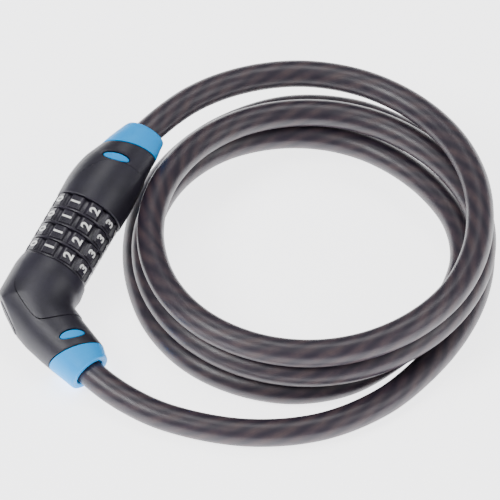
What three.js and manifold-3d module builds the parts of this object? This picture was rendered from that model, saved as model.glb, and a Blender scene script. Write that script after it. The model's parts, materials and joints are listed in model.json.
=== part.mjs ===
// Coiled cable lock with four number dials. Millimetres, +Z up.
//
// The lock body is drawn in its own frame: +X runs along the dials' axis from the elbow towards the
// plug, +Y points to the outer side of the bend and +Z to the front. The origin is where the dials'
// axis meets the axis of the lower arm. The whole body is then tilted into place beside the coil.

import * as THREE from 'three';
import { mergeVertices } from 'three/addons/utils/BufferGeometryUtils.js';
import Module from 'manifold-3d';

const wasm = await Module();
wasm.setup();

// ---------- driving dimensions ----------

// Clearances
const FIT = 0.3; // between any two neighbouring pieces
const COLLAR_BORE_CLEARANCE = 0.8; // round the cable in a collar

// Placement of the lock body and of the coil
const LOCK_AT = [-20.45, -24.13, 17.334];
const LOCK_YAW = 61.6; // degrees
const LOCK_RISE = 15.0;
const LOCK_ROLL = 5.9;
const COIL_AT = [101.65, 10.77];

// Dials
const DIAL_COUNT = 4;
const DIGIT_COUNT = 10;
const DIAL_PITCH = 8.0;
const DIAL_R = 15.3;
const DIAL_NOTCH_R = 13.6;
const DIAL_RIM_WIDTH = 1.0;
const DIAL_PANEL_HALF_ANGLE = 10; // degrees
const DIAL_PHASE = 23.9; // degrees from the front to the panel that shows
const DIALS_START = 19.3;
const DIALS_END = DIALS_START + DIAL_COUNT * DIAL_PITCH;

// Locking pin on the plug, worked outwards through the core and the code rings to the dials' bore
const LOCK_PIN_R = 4.0;
const LOCK_PIN_CLEARANCE = 0.4;
const LOCK_PIN_TIP = 12.0;
const LUG_WIDTH = 2.0;
const LUG_LENGTH = 2.4;
const LUG_STAND = 1.6; // past the core's outside
const LUG_CLEARANCE = 0.5; // inside the code rings
const PIN_FLANGE_R = 7.5;
const PIN_FLANGE_WIDTH = 2.7;
const CORE_WALL = 2.2;
const CORE_BORE_R = LOCK_PIN_R + LOCK_PIN_CLEARANCE;
const CORE_R = CORE_BORE_R + CORE_WALL;
const CORE_START = 4.0;
const CORE_OVERHANG = 2.0; // past the last dial
const SLOT_WIDTH = LUG_WIDTH + 2 * FIT;
const LUG_REACH = CORE_R + LUG_STAND;
const CODE_RING_WALL = 2.0;
const CODE_RING_SIDE_GAP = 0.3;
const CODE_RING_R = LUG_REACH + LUG_CLEARANCE + CODE_RING_WALL;
const GATE_WIDTH = 3.4;
const GATE_DEPTH = 0.9;
const DIAL_BORE_R = CODE_RING_R + FIT;

// Retaining ring, springs and cross pins
const RING_THICKNESS = 0.6;
const RING_RISE = 2.6; // past the core's outside
const RING_R = CORE_R + RING_RISE;
const RING_CLEARANCE = 0.8; // inside the plug
const RING_GROOVE_DEPTH = 0.7;
const RING_OPENING = 4.6;
const RING_AFTER_DIALS = 0.2;
const SPRING_WIDTH = 4.0;
const SPRING_THICKNESS = 0.6;
const SPRING_HALF_ANGLE = 28; // degrees
const CROSS_PIN_R = 1.5;
const CROSS_PIN_HALF = 9.0;
const CORE_PIN_AT = 8.0;

// Ferrules on the cable's ends, and the spigots and seams that close round them
const CABLE_R = 6.0;
const FERRULE_R = 7.5;
const FERRULE_GROOVE_DEPTH = 1.3;
const FERRULE_GROOVE_AT = 3.0; // from the ferrule's end
const FERRULE_GROOVE_WIDTH = 3.4;
const FERRULE_LENGTH = 14.0;
const FERRULE_FLOOR = 2.3;
const ROPE_R = 4.0;
const ROPE_GAP = 1.1; // between the rope end and the slanted end of the sheath
const SHEATH_AFTER_FERRULE = 2.5;
const SPIGOT_WALL = 2.1;
const PLUG_SPIGOT = 3.0;
const ARM_SPIGOT = 1.6;
const SPIGOT_R = FERRULE_R + FIT + SPIGOT_WALL;
const SEAM_WALL = 1.65; // of a shell round the spigot
const SEAM_R = SPIGOT_R + FIT + SEAM_WALL;

// Plug shell and collar, as [distance along the axis, radius]
const PLUG_START = DIALS_END;
const PLUG_SHELL_LENGTH = 33.0;
const PLUG_COLLAR_LENGTH = 11.7;
const PLUG_SEAM = PLUG_START + PLUG_SHELL_LENGTH;
const PLUG_END = PLUG_SEAM + PLUG_COLLAR_LENGTH;
const PLUG_SEAM_WAVE = 2.75; // how far the seam leans towards the inner side
const PLUG_SEAM_REACH = 10.0; // how far along the shell the lean is felt
const PLUG_END_R = 15.4;
const PLUG_SHELL_RADII = [
  [0, PLUG_END_R], [PLUG_SHELL_LENGTH - 24, PLUG_END_R + 0.2], [PLUG_SHELL_LENGTH - 18, SEAM_R + 3.4],
  [PLUG_SHELL_LENGTH - 12, SEAM_R + 2.6], [PLUG_SHELL_LENGTH - 6, SEAM_R + 1.3], [PLUG_SHELL_LENGTH, SEAM_R],
];
const PLUG_COLLAR_RADII = [
  [0, SEAM_R], [4, SEAM_R - 0.8], [8, SEAM_R - 1.8], [10.8, SEAM_R - 2.5], [PLUG_COLLAR_LENGTH, SEAM_R - 3.2],
];
const PLUG_LEAN_START = PLUG_SEAM - 24.3;
const PLUG_LEAN_RADIUS = 147.0;
const PLUG_PIN_SEAT = PLUG_SEAM - 20.3;
const PLUG_FERRULE_AT = PLUG_PIN_SEAT + FIT + PIN_FLANGE_WIDTH + 1.0;
const PLUG_CABLE_AT = PLUG_FERRULE_AT + FERRULE_LENGTH + SHEATH_AFTER_FERRULE;

// Elbow and lower collar
const ELBOW_END_R = 15.5;
const ELBOW_ARC_START_R = 16.2;
const ELBOW_ARC_END_R = SEAM_R + 1.45;
const BEND_RADIUS = 20.0;
const BEND_ANGLE = 67.1; // degrees turned by the body
const ARM_SEAM = 30.3; // along the lower arm from the corner
const ARM_COLLAR_LENGTH = 9.5;
const ARM_END = ARM_SEAM + ARM_COLLAR_LENGTH;
const ARM_SEAM_WAVE = 4.2;
const ARM_SEAM_REACH = 9.0;
const ARM_COLLAR_RADII = [
  [0, SEAM_R], [3, SEAM_R - 0.7], [6, SEAM_R - 1.4], [8.6, SEAM_R - 1.9], [ARM_COLLAR_LENGTH, SEAM_R - 2.6],
];
const ARM_FERRULE_AT = 12.0;
const ARM_CABLE_AT = ARM_FERRULE_AT + FERRULE_LENGTH + SHEATH_AFTER_FERRULE;
const FACET_AT = 11.0; // distance of the outer facet from the corner
const FACET_ANGLE = 51.1; // degrees round the bend from the dials' end
const PILL_LENGTH = 17.0;
const PILL_WIDTH = 6.0;
const PILL_RISE = 0.4;

// Covers and windows
const COVER_RISE = 0.4;
const COVER_DEPTH = 1.2;
const WINDOW_LENGTH = 12.4;
const WINDOW_WIDTH = 4.8;
const WINDOW_DEPTH = 1.4; // left under the insert's edge
const PLUG_WINDOW = { along: PLUG_SEAM - 8.8, turn: -5, tilt: 13 };
const ARM_WINDOW = { along: ARM_SEAM - 4.9, turn: 15.7, tilt: 20 };

// Cable coil: [radius, height] of the centre line at every eighth of a turn, clockwise seen from above
const STATION_STEP = 45;
const FIRST_STATION = 135;
const STATIONS = [
  [84.7, 43.0], [81.0, 42.4], [75.5, 40.8], [72.0, 39.4], [73.4, 36.6], [72.2, 31.2],
  [73.4, 31.2], [71.1, 31.2], [70.1, 31.2], [68.8, 30.3], [69.2, 28.8], [73.4, 27.0],
  [73.3, 24.0], [72.4, 18.6], [74.0, 18.6], [73.6, 18.6], [71.8, 18.5], [66.6, 17.6],
  [62.9, 16.6], [65.6, 15.8], [64.4, 13.4], [71.4, 6.0], [76.0, 6.0], [77.6, 6.0],
  [86.4, 6.0], [95.0, 6.0], [85.5, 6.0], [73.6, 6.0], [74.4, 6.0], [92.4, 6.0], [111.0, 6.0],
];
const COIL_FROM = 129; // degrees, where the coil takes over from the plug's end
const COIL_TO = -1206; // degrees, where it hands over to the lower arm's end
const COIL_STEPS = 72;
const LEAD_STEPS = 4; // steps of the coil that belong to the flexing lead
const ARM_TAIL = [[-82.5, -76.1, 7.2]]; // from the coil's centre
const CABLE_SIDES = 10;

// Mesh fineness
const ROUND = 28;
const HOLE_ROUND = 18;
const PIN_ROUND = 10;
const LEAN_STEP = 4.0; // along the leaning part of the plug

// ---------- finishes ----------

function finish(color, roughness, metalness) {
  return new THREE.MeshStandardMaterial({ color, roughness, metalness });
}

const BLACK_NYLON = finish(0x2a2830, 0.55, 0.0);
const BLUE_PLASTIC = finish(0x26b8f0, 0.4, 0.0);
const DIAL_PLASTIC = finish(0x3a3940, 0.45, 0.0);
const CABLE_SHEATH = finish(0x3c353a, 0.3, 0.0);
const ZINC = finish(0xa9adb2, 0.4, 0.9);
const STEEL = finish(0x8d9197, 0.35, 1.0);
const BRASS = finish(0xb5975a, 0.35, 1.0);

// ---------- helpers ----------

const rad = THREE.MathUtils.degToRad;

// A closed solid from a geometry: shared corners merged, slivers dropped, faces turned outwards.
function solid(geometry) {
  const bare = geometry.clone();
  bare.deleteAttribute('normal');
  bare.deleteAttribute('uv');
  const merged = mergeVertices(bare, 1e-4);
  const p = merged.attributes.position;
  const index = merged.index.array;
  const corner = (i) => new THREE.Vector3().fromBufferAttribute(p, i);
  const kept = [];
  let volume = 0;
  for (let i = 0; i < index.length; i += 3) {
    const [a, b, c] = [index[i], index[i + 1], index[i + 2]];
    if (a === b || b === c || c === a) continue;
    volume += corner(a).dot(corner(b).cross(corner(c)));
    kept.push(a, b, c);
  }
  if (volume < 0) kept.reverse();
  return new wasm.Manifold(new wasm.Mesh({
    numProp: 3,
    vertProperties: new Float32Array(p.array),
    triVerts: new Uint32Array(kept),
  }));
}

function geometryOf(body) {
  const mesh = body.getMesh();
  const geometry = new THREE.BufferGeometry();
  geometry.setAttribute('position', new THREE.BufferAttribute(new Float32Array(mesh.vertProperties), 3));
  geometry.setIndex(new THREE.BufferAttribute(new Uint32Array(mesh.triVerts), 1));
  geometry.computeVertexNormals();
  return geometry;
}

// Moves every corner of a geometry by a rule for its (x, y, z).
function warp(geometry, rule) {
  const p = geometry.attributes.position;
  const v = new THREE.Vector3();
  for (let i = 0; i < p.count; i++) {
    v.fromBufferAttribute(p, i);
    rule(v);
    p.setXYZ(i, v.x, v.y, v.z);
  }
  return geometry;
}

// A turned shape about +X from [distance along X, radius] pairs, closed to the axis at both ends.
function turned(profile, sides = ROUND) {
  const points = profile.map(([x, r]) => new THREE.Vector2(r, x));
  if (points[0].x > 0) points.unshift(new THREE.Vector2(0, points[0].y));
  if (points.at(-1).x > 0) points.push(new THREE.Vector2(0, points.at(-1).y));
  return new THREE.LatheGeometry(points, sides).rotateZ(-Math.PI / 2);
}

const rod = (from, to, r, sides = HOLE_ROUND) => turned([[from, r], [to, r]], sides);

// Extra points between those of a profile, so that it can follow a curved centre line.
function stepped(profile, step = LEAN_STEP) {
  const result = [profile[0]];
  for (let i = 1; i < profile.length; i++) {
    const [x0, r0] = profile[i - 1];
    const [x1, r1] = profile[i];
    const count = Math.max(1, Math.ceil(Math.abs(x1 - x0) / step));
    for (let k = 1; k <= count; k++) {
      const share = k / count;
      result.push([x0 + (x1 - x0) * share, r0 + (r1 - r0) * share]);
    }
  }
  return result;
}

// A ring about +X between two radii.
function ring(from, to, inner, outer, sides = ROUND) {
  return solid(rod(from, to, outer, sides)).subtract(solid(rod(from - 1, to + 1, inner, sides)));
}

function box(x0, x1, y0, y1, z0, z1) {
  const geometry = new THREE.BoxGeometry(x1 - x0, y1 - y0, z1 - z0);
  return geometry.translate((x0 + x1) / 2, (y0 + y1) / 2, (z0 + z1) / 2);
}

// A straight pin or its hole, standing along Z.
function crossPin(x, y, z0, z1, r) {
  const geometry = new THREE.CylinderGeometry(r, r, z1 - z0, PIN_ROUND).rotateX(Math.PI / 2);
  return geometry.translate(x, y, (z0 + z1) / 2);
}

// A flat outline in X and Y, pulled along Z.
function slab(shape, z0, z1, curveSegments = 6) {
  const geometry = new THREE.ExtrudeGeometry(shape, { depth: z1 - z0, bevelEnabled: false, curveSegments });
  return geometry.translate(0, 0, z0);
}

// Radius of a turned skin at a distance along it, by straight lines between its listed points.
function radiusAt(radii, x) {
  const next = radii.findIndex(([at]) => at >= x);
  if (next <= 0) return radii[next === 0 ? 0 : radii.length - 1][1];
  const [x0, r0] = radii[next - 1];
  const [x1, r1] = radii[next];
  return r0 + ((r1 - r0) * (x - x0)) / (x1 - x0);
}

// ---------- curved frames of the two arms ----------

// The plug's centre line leans to the inner side past the locking pin's seat.
const plugLean = (x) => (x > PLUG_LEAN_START ? -((x - PLUG_LEAN_START) ** 2) / (2 * PLUG_LEAN_RADIUS) : 0);

// A seam that leans towards the inner side; the skin next to it is drawn along with it.
function seamLean(x, y, z, seam, wave, reach) {
  const weight = Math.max(0, 1 - Math.abs(x - seam) / reach);
  const r = Math.hypot(y, z);
  return r > 1e-6 ? -wave * weight * (y / r) : 0;
}

function plugWarp(geometry, seamed) {
  return warp(geometry, (v) => {
    if (seamed) v.x += seamLean(v.x, v.y, v.z, PLUG_SEAM, PLUG_SEAM_WAVE, PLUG_SEAM_REACH);
    v.y += plugLean(v.x);
  });
}

// A turned solid that follows the plug's leaning centre line.
const leaning = (profile) => solid(plugWarp(turned(stepped(profile), HOLE_ROUND), false));

// The lower arm's frame: +X out along the arm from the corner, +Y to the inner side, +Z to the front.
const ARM_FRAME = new THREE.Matrix4().makeRotationZ(Math.PI + rad(BEND_ANGLE));
const inArm = (geometry) => geometry.applyMatrix4(ARM_FRAME);

function armWarp(geometry) {
  return warp(geometry, (v) => {
    v.x += seamLean(v.x, -v.y, v.z, ARM_SEAM, ARM_SEAM_WAVE, ARM_SEAM_REACH);
  });
}

// ---------- elbow ----------

const TANGENT = BEND_RADIUS * Math.tan(rad(BEND_ANGLE) / 2);
const ELBOW_TOP = DIALS_START - FIT;
const ARC_FROM = ELBOW_TOP - TANGENT;
const ARC_TO = ARC_FROM + BEND_RADIUS * rad(BEND_ANGLE);
const SKIN_SEAM = ARC_TO + ARM_SEAM - TANGENT;

const ELBOW_RADII = [
  [0, ELBOW_END_R], [ARC_FROM, ELBOW_ARC_START_R], [ARC_TO, ELBOW_ARC_END_R], [SKIN_SEAM, SEAM_R],
];

// Bends a skin drawn along X, from the dials' end, round the corner. The outer side keeps the straight
// lines of both arms, so the corner stands out as a mitre does.
function elbowBend(geometry, offset) {
  const sweep = rad(BEND_ANGLE);
  return warp(geometry, (v) => {
    v.x += seamLean(v.x, v.y, v.z, SKIN_SEAM, ARM_SEAM_WAVE, ARM_SEAM_REACH);
    const along = v.x;
    if (along <= ARC_FROM) {
      v.x = ELBOW_TOP - along;
      return;
    }
    const turn = Math.min(along - ARC_FROM, ARC_TO - ARC_FROM) / BEND_RADIUS;
    if (turn < sweep && v.y > 0) {
      const reachTop = (BEND_RADIUS + ELBOW_ARC_START_R + offset) / Math.cos(turn);
      const reachArm = (BEND_RADIUS + ELBOW_ARC_END_R + offset) / Math.cos(sweep - turn);
      v.y *= (Math.min(reachTop, reachArm) - BEND_RADIUS) / (radiusAt(ELBOW_RADII, along) + offset);
    }
    const past = Math.max(0, along - ARC_TO);
    const out = BEND_RADIUS + v.y;
    v.x = TANGENT - Math.sin(turn) * out - Math.cos(turn) * past;
    v.y = -BEND_RADIUS + Math.cos(turn) * out - Math.sin(turn) * past;
  });
}

const ELBOW_RINGS = 10;

function elbowSkin(offset) {
  const stops = new Set([0, ARC_FROM, ARC_TO, SKIN_SEAM - ARM_SEAM_REACH, SKIN_SEAM]);
  for (let i = 1; i < ELBOW_RINGS; i++) stops.add(ARC_FROM + ((ARC_TO - ARC_FROM) * i) / ELBOW_RINGS);
  const along = [...stops].sort((a, b) => a - b);
  const profile = along.map((x) => [x, radiusAt(ELBOW_RADII, x) + offset]);
  profile.push([SKIN_SEAM, SPIGOT_R]);
  return solid(elbowBend(turned(profile), offset));
}

// Outer facet: a flat across the corner, with a plain raised pill on it.
const FACET_FRAME = new THREE.Matrix4().makeRotationZ(Math.PI / 2 + rad(FACET_ANGLE));

function facetCut() {
  const size = 60;
  return solid(box(FACET_AT, FACET_AT + size, -size, size, -size, size).applyMatrix4(FACET_FRAME));
}

function facetPill() {
  const half = PILL_LENGTH / 2 - PILL_WIDTH / 2;
  const shape = new THREE.Shape();
  shape.absarc(half, 0, PILL_WIDTH / 2, -Math.PI / 2, Math.PI / 2);
  shape.absarc(-half, 0, PILL_WIDTH / 2, Math.PI / 2, (3 * Math.PI) / 2);
  const depth = 2;
  const pill = slab(shape, -depth, PILL_RISE, 4).rotateX(Math.PI / 2).rotateZ(Math.PI / 2);
  return solid(pill.translate(FACET_AT, 0, 0).applyMatrix4(FACET_FRAME));
}

// Outline of the elbow's cover panel in side view, from the dials' end round the front of the corner.
function elbowCoverShape(inset) {
  const shape = new THREE.Shape();
  shape.moveTo(ELBOW_TOP + 1, 11.2 - inset);
  shape.splineThru([
    new THREE.Vector2(9, 10.2 - inset),
    new THREE.Vector2(0.6 + inset, 7.6 - inset),
    new THREE.Vector2(-5.6 + inset, -1.6),
    new THREE.Vector2(-7.9 + inset, -7.8 + inset),
    new THREE.Vector2(-6.6 + inset, -11.6 + inset),
    new THREE.Vector2(-2, -16.6 + inset),
    new THREE.Vector2(5, -22.4 + inset),
  ]);
  shape.lineTo(12, -28 + inset);
  shape.lineTo(ELBOW_TOP + 1, -28 + inset);
  shape.closePath();
  return shape;
}

const TALL = 30; // half height of a cutter that passes through the whole body

// A leaf-shaped window outline, long across the arm.
function windowShape(clear) {
  const a = WINDOW_LENGTH / 2 - clear;
  const b = WINDOW_WIDTH / 2 - clear;
  const shape = new THREE.Shape();
  shape.absellipse(0, 0, b, a, 0, 2 * Math.PI);
  return shape;
}

// The window's prism in an arm's frame, standing out along the arm's own front.
function windowPrism(at, radius, turnSign, clear, floor) {
  const edge = Math.sqrt(radius ** 2 - (WINDOW_LENGTH / 2) ** 2);
  const prism = slab(windowShape(clear), edge - floor, TALL);
  prism.rotateZ(rad(at.tilt) * turnSign).rotateX(-rad(at.turn));
  return prism.translate(at.along, 0, 0);
}

const ferrulePinOffset = FERRULE_R - FERRULE_GROOVE_DEPTH + CROSS_PIN_R + FIT / 2;
const ferrulePinAt = (ferruleAt) => ferruleAt + FERRULE_GROOVE_AT + FERRULE_GROOVE_WIDTH / 2;

function elbowPieces() {
  const outer = elbowSkin(0);
  const core = elbowSkin(-COVER_DEPTH);
  const arm = (geometry) => solid(inArm(geometry));
  const armWindowRadius = radiusAt(ELBOW_RADII, ARC_TO + ARM_WINDOW.along - TANGENT);
  const pocket = arm(windowPrism(ARM_WINDOW, armWindowRadius, -1, 0, WINDOW_DEPTH + FIT));
  const insertPrism = arm(windowPrism(ARM_WINDOW, armWindowRadius, -1, FIT, WINDOW_DEPTH));
  const pinAt = ferrulePinAt(ARM_FERRULE_AT);
  const ferrulePin = inArm(crossPin(pinAt, -ferrulePinOffset, -CROSS_PIN_HALF, CROSS_PIN_HALF, CROSS_PIN_R));
  const ferrulePinHole = arm(
    crossPin(pinAt, -ferrulePinOffset, -TALL, CROSS_PIN_HALF + FIT, CROSS_PIN_R + FIT),
  );
  const corePinHole = solid(crossPin(CORE_PIN_AT, 0, -TALL, CROSS_PIN_HALF + FIT, CROSS_PIN_R + FIT));
  const spigotSeat = arm(armWarp(rod(ARM_SEAM - ARM_SPIGOT - FIT, ARM_SEAM + 4, SPIGOT_R + FIT, ROUND)));
  const cavities = solid(rod(CORE_START - FIT, DIALS_START + 5, CORE_R + FIT))
    .add(arm(rod(ARM_FERRULE_AT - FIT, ARM_END + 5, FERRULE_R + FIT)))
    .add(spigotSeat);

  const shell = outer
    .subtract(solid(slab(elbowCoverShape(0), -TALL, TALL, 2)))
    .add(core)
    .subtract(facetCut())
    .add(facetPill())
    .subtract(cavities)
    .subtract(pocket)
    .subtract(corePinHole)
    .subtract(ferrulePinHole);
  const cover = elbowSkin(COVER_RISE)
    .intersect(solid(slab(elbowCoverShape(FIT), -TALL, TALL, 2)))
    .subtract(solid(box(ELBOW_TOP, ELBOW_TOP + 9, -TALL, TALL, -TALL, TALL)))
    .subtract(elbowSkin(-COVER_DEPTH + FIT))
    .subtract(corePinHole)
    .subtract(ferrulePinHole);
  return {
    elbow_shell: shell,
    elbow_cover: cover,
    lower_window_insert: insertPrism.intersect(elbowSkin(0)),
    lower_ferrule_pin: solid(ferrulePin),
  };
}

// ---------- collars, ferrules and rope ends ----------

function collarProfile(seam, radii, spigot) {
  const length = radii.at(-1)[0];
  const skin = radii.map(([x, r]) => [seam + FIT + (x * (length - FIT)) / length, r]);
  return [[seam - spigot, SPIGOT_R], [seam + FIT, SPIGOT_R], ...skin];
}

function collarBore(ferruleEnd, end) {
  const wide = FERRULE_R + FIT;
  const narrow = CABLE_R + COLLAR_BORE_CLEARANCE;
  const step = ferruleEnd + FIT;
  return [[ferruleEnd - FERRULE_LENGTH, wide], [step, wide], [step, narrow], [end + 5, narrow]];
}

function ferruleProfile(at) {
  const groove = at + FERRULE_GROOVE_AT;
  const floor = at + FERRULE_FLOOR;
  const inner = FERRULE_R - FERRULE_GROOVE_DEPTH;
  return [
    [at, FERRULE_R], [groove, FERRULE_R], [groove, inner], [groove + FERRULE_GROOVE_WIDTH, inner],
    [groove + FERRULE_GROOVE_WIDTH, FERRULE_R], [at + FERRULE_LENGTH, FERRULE_R],
    [at + FERRULE_LENGTH, ROPE_R + FIT], [floor, ROPE_R + FIT],
  ];
}

function ropeProfile(ferruleAt, cableAt) {
  return [[ferruleAt + FERRULE_FLOOR + FIT, ROPE_R], [cableAt - ROPE_GAP, ROPE_R]];
}

// ---------- plug ----------

const plugRadii = PLUG_SHELL_RADII.map(([x, r]) => [PLUG_START + x, r]);

function plugSkin(offset, from = PLUG_START) {
  const profile = [[from, PLUG_SHELL_RADII[0][1] + offset]];
  const stops = 8;
  for (let i = 1; i <= stops; i++) {
    const x = from + ((PLUG_SEAM - from) * i) / stops;
    profile.push([x, radiusAt(plugRadii, x) + offset]);
  }
  profile.push([PLUG_SEAM, SPIGOT_R]);
  return solid(plugWarp(turned(profile), true));
}

// Outline of the plug's cover panel in side view.
function plugCoverShape(inset) {
  const shape = new THREE.Shape();
  shape.moveTo(PLUG_START - 1, 11.4 - inset);
  shape.splineThru([
    new THREE.Vector2(PLUG_SEAM - 26.5 - inset, 10.2 - inset),
    new THREE.Vector2(PLUG_SEAM - 18.5 - inset, 6.2 - inset),
    new THREE.Vector2(PLUG_SEAM - 12.2 - inset, 0.6),
    new THREE.Vector2(PLUG_SEAM - 9.8 - inset, -6),
    new THREE.Vector2(PLUG_SEAM - 8.7 - inset, -13),
    new THREE.Vector2(PLUG_SEAM - 8.4 - inset, -20),
  ]);
  shape.lineTo(PLUG_START - 1, -20);
  shape.closePath();
  return shape;
}

const CORE_END = DIALS_END + CORE_OVERHANG;

function plugPieces() {
  const cavityR = Math.max(FERRULE_R, PIN_FLANGE_R) + FIT + 0.1;
  const windowRadius = radiusAt(plugRadii, PLUG_WINDOW.along);
  const lean = plugLean(PLUG_WINDOW.along);
  const pocket = solid(
    windowPrism(PLUG_WINDOW, windowRadius, 1, 0, WINDOW_DEPTH + FIT).translate(0, lean, 0),
  );
  const insertPrism = solid(
    windowPrism(PLUG_WINDOW, windowRadius, 1, FIT, WINDOW_DEPTH).translate(0, lean, 0),
  );
  const pinAt = ferrulePinAt(PLUG_FERRULE_AT);
  const pinY = plugLean(pinAt) - ferrulePinOffset;
  const ferrulePin = crossPin(pinAt, pinY, -CROSS_PIN_HALF, CROSS_PIN_HALF, CROSS_PIN_R);
  const ferrulePinHole = solid(crossPin(pinAt, pinY, -TALL, CROSS_PIN_HALF + FIT, CROSS_PIN_R + FIT));
  const cavities = solid(rod(PLUG_START - 5, CORE_END + 1, RING_R + RING_CLEARANCE, ROUND))
    .add(solid(rod(PLUG_START - 5, PLUG_PIN_SEAT + 1, LOCK_PIN_R + LOCK_PIN_CLEARANCE)))
    .add(leaning([[PLUG_PIN_SEAT, cavityR], [PLUG_SEAM + PLUG_SEAM_REACH, cavityR]]))
    .add(solid(plugWarp(rod(PLUG_SEAM - PLUG_SPIGOT - FIT, PLUG_SEAM + 4, SPIGOT_R + FIT, ROUND), true)));

  const shell = plugSkin(0)
    .subtract(solid(slab(plugCoverShape(0), -TALL, TALL, 2)))
    .add(plugSkin(-COVER_DEPTH))
    .subtract(cavities)
    .subtract(pocket)
    .subtract(ferrulePinHole);
  const cover = plugSkin(COVER_RISE)
    .intersect(solid(slab(plugCoverShape(FIT), -TALL, TALL, 2)))
    .subtract(plugSkin(-COVER_DEPTH + FIT, PLUG_START - 2))
    .subtract(ferrulePinHole)
    .subtract(pocket);

  const collar = solid(plugWarp(turned(collarProfile(PLUG_SEAM, PLUG_COLLAR_RADII, PLUG_SPIGOT)), true))
    .subtract(leaning(collarBore(PLUG_FERRULE_AT + FERRULE_LENGTH, PLUG_END)));

  const seat = PLUG_PIN_SEAT + FIT;
  const chamfer = 0.8;
  let pin = solid(turned([
    [LOCK_PIN_TIP, LOCK_PIN_R - chamfer], [LOCK_PIN_TIP + chamfer, LOCK_PIN_R], [seat, LOCK_PIN_R],
    [seat, PIN_FLANGE_R], [seat + PIN_FLANGE_WIDTH, PIN_FLANGE_R],
  ], HOLE_ROUND));
  for (let i = 0; i < DIAL_COUNT; i++) {
    const x = dialCentre(i);
    pin = pin.add(solid(
      box(x - LUG_LENGTH / 2, x + LUG_LENGTH / 2, -LUG_WIDTH / 2, LUG_WIDTH / 2, -LUG_REACH, -LOCK_PIN_R / 2),
    ));
  }
  return {
    plug_shell: shell,
    plug_cover: cover,
    plug_collar: collar,
    plug_window_insert: insertPrism.intersect(plugSkin(0)),
    plug_pin: pin,
    plug_ferrule: leaning(ferruleProfile(PLUG_FERRULE_AT)),
    plug_ferrule_pin: solid(ferrulePin),
    plug_rope_end: leaning(ropeProfile(PLUG_FERRULE_AT, PLUG_CABLE_AT)),
  };
}

// ---------- dials and core ----------

const DIAL_WIDTH = DIAL_PITCH - FIT;
const dialStart = (i) => DIALS_START + i * DIAL_PITCH;
const dialCentre = (i) => dialStart(i) + DIAL_WIDTH / 2;

// Ten flat panels with grip notches between them, and a plain rim at the elbow's side.
function dialGeometry() {
  const step = 360 / DIGIT_COUNT;
  const shape = new THREE.Shape();
  const polar = (degrees, r) => [r * Math.cos(rad(degrees)), r * Math.sin(rad(degrees))];
  for (let i = 0; i < DIGIT_COUNT; i++) {
    const middle = i * step;
    if (i === 0) shape.moveTo(...polar(middle - DIAL_PANEL_HALF_ANGLE, DIAL_R));
    else shape.lineTo(...polar(middle - DIAL_PANEL_HALF_ANGLE, DIAL_R));
    shape.lineTo(...polar(middle + DIAL_PANEL_HALF_ANGLE, DIAL_R));
    shape.lineTo(...polar(middle + step / 2, DIAL_NOTCH_R));
  }
  shape.closePath();
  const panels = slab(shape, 0, DIAL_WIDTH).rotateY(Math.PI / 2);
  return geometryOf(
    solid(panels)
      .add(solid(rod(0, DIAL_RIM_WIDTH, DIAL_R, ROUND)))
      .subtract(solid(rod(-1, DIAL_WIDTH + 1, DIAL_BORE_R, ROUND))),
  );
}

function codeRingGeometry() {
  const inner = CODE_RING_R - CODE_RING_WALL;
  const gate = box(-1, DIAL_PITCH + 1, -GATE_WIDTH / 2, GATE_WIDTH / 2, -inner - GATE_DEPTH, 0);
  return geometryOf(
    ring(CODE_RING_SIDE_GAP, DIAL_WIDTH - CODE_RING_SIDE_GAP, inner, CODE_RING_R, HOLE_ROUND)
      .subtract(solid(gate)),
  );
}

// A short arc of leaf spring on the front of the core tube.
function springGeometry() {
  const inner = CORE_R + FIT;
  const half = rad(SPRING_HALF_ANGLE);
  const shape = new THREE.Shape();
  shape.absarc(0, 0, inner + SPRING_THICKNESS, -half, half, false);
  shape.absarc(0, 0, inner, half, -half, true);
  const leaf = slab(shape, -SPRING_WIDTH / 2, SPRING_WIDTH / 2);
  return geometryOf(solid(leaf.rotateY(Math.PI / 2)));
}

function coreTube() {
  const slotFrom = DIALS_START - 2; // room for the first lug
  const groove = DIALS_END + RING_AFTER_DIALS;
  return ring(CORE_START, CORE_END, CORE_BORE_R, CORE_R)
    .subtract(solid(box(slotFrom, CORE_END + 5, -SLOT_WIDTH / 2, SLOT_WIDTH / 2, -CORE_R - 2, 0)))
    .subtract(ring(groove, groove + RING_THICKNESS + 2 * FIT, CORE_R - RING_GROOVE_DEPTH, CORE_R + 2))
    .subtract(solid(crossPin(CORE_PIN_AT, 0, -TALL, TALL, CROSS_PIN_R + FIT)));
}

function retainingRing() {
  const from = DIALS_END + RING_AFTER_DIALS + FIT;
  return ring(from, from + RING_THICKNESS, CORE_R - RING_GROOVE_DEPTH + FIT, RING_R)
    .subtract(solid(box(from - 1, from + 2, -RING_OPENING / 2, RING_OPENING / 2, -RING_R - 2, 0)));
}

// ---------- cable ----------

// Smooth value between listed stations, a cubic through the two on each side.
function between(list, column, position) {
  const i = Math.min(Math.floor(position), list.length - 2);
  const t = position - i;
  const at = (k) => {
    if (k < 0) return 2 * list[0][column] - list[1][column];
    if (k >= list.length) return 2 * list.at(-1)[column] - list.at(-2)[column];
    return list[k][column];
  };
  const [p0, p1, p2, p3] = [at(i - 1), at(i), at(i + 1), at(i + 2)];
  const a = -p0 + 3 * p1 - 3 * p2 + p3;
  const b = 2 * p0 - 5 * p1 + 4 * p2 - p3;
  return 0.5 * (2 * p1 + (p2 - p0) * t + b * t * t + a * t * t * t);
}

function coilPoint(angle) {
  const position = (FIRST_STATION - angle) / STATION_STEP;
  const r = between(STATIONS, 0, position);
  const z = Math.max(CABLE_R, between(STATIONS, 1, position));
  return new THREE.Vector3(COIL_AT[0] + r * Math.cos(rad(angle)), COIL_AT[1] + r * Math.sin(rad(angle)), z);
}

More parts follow.
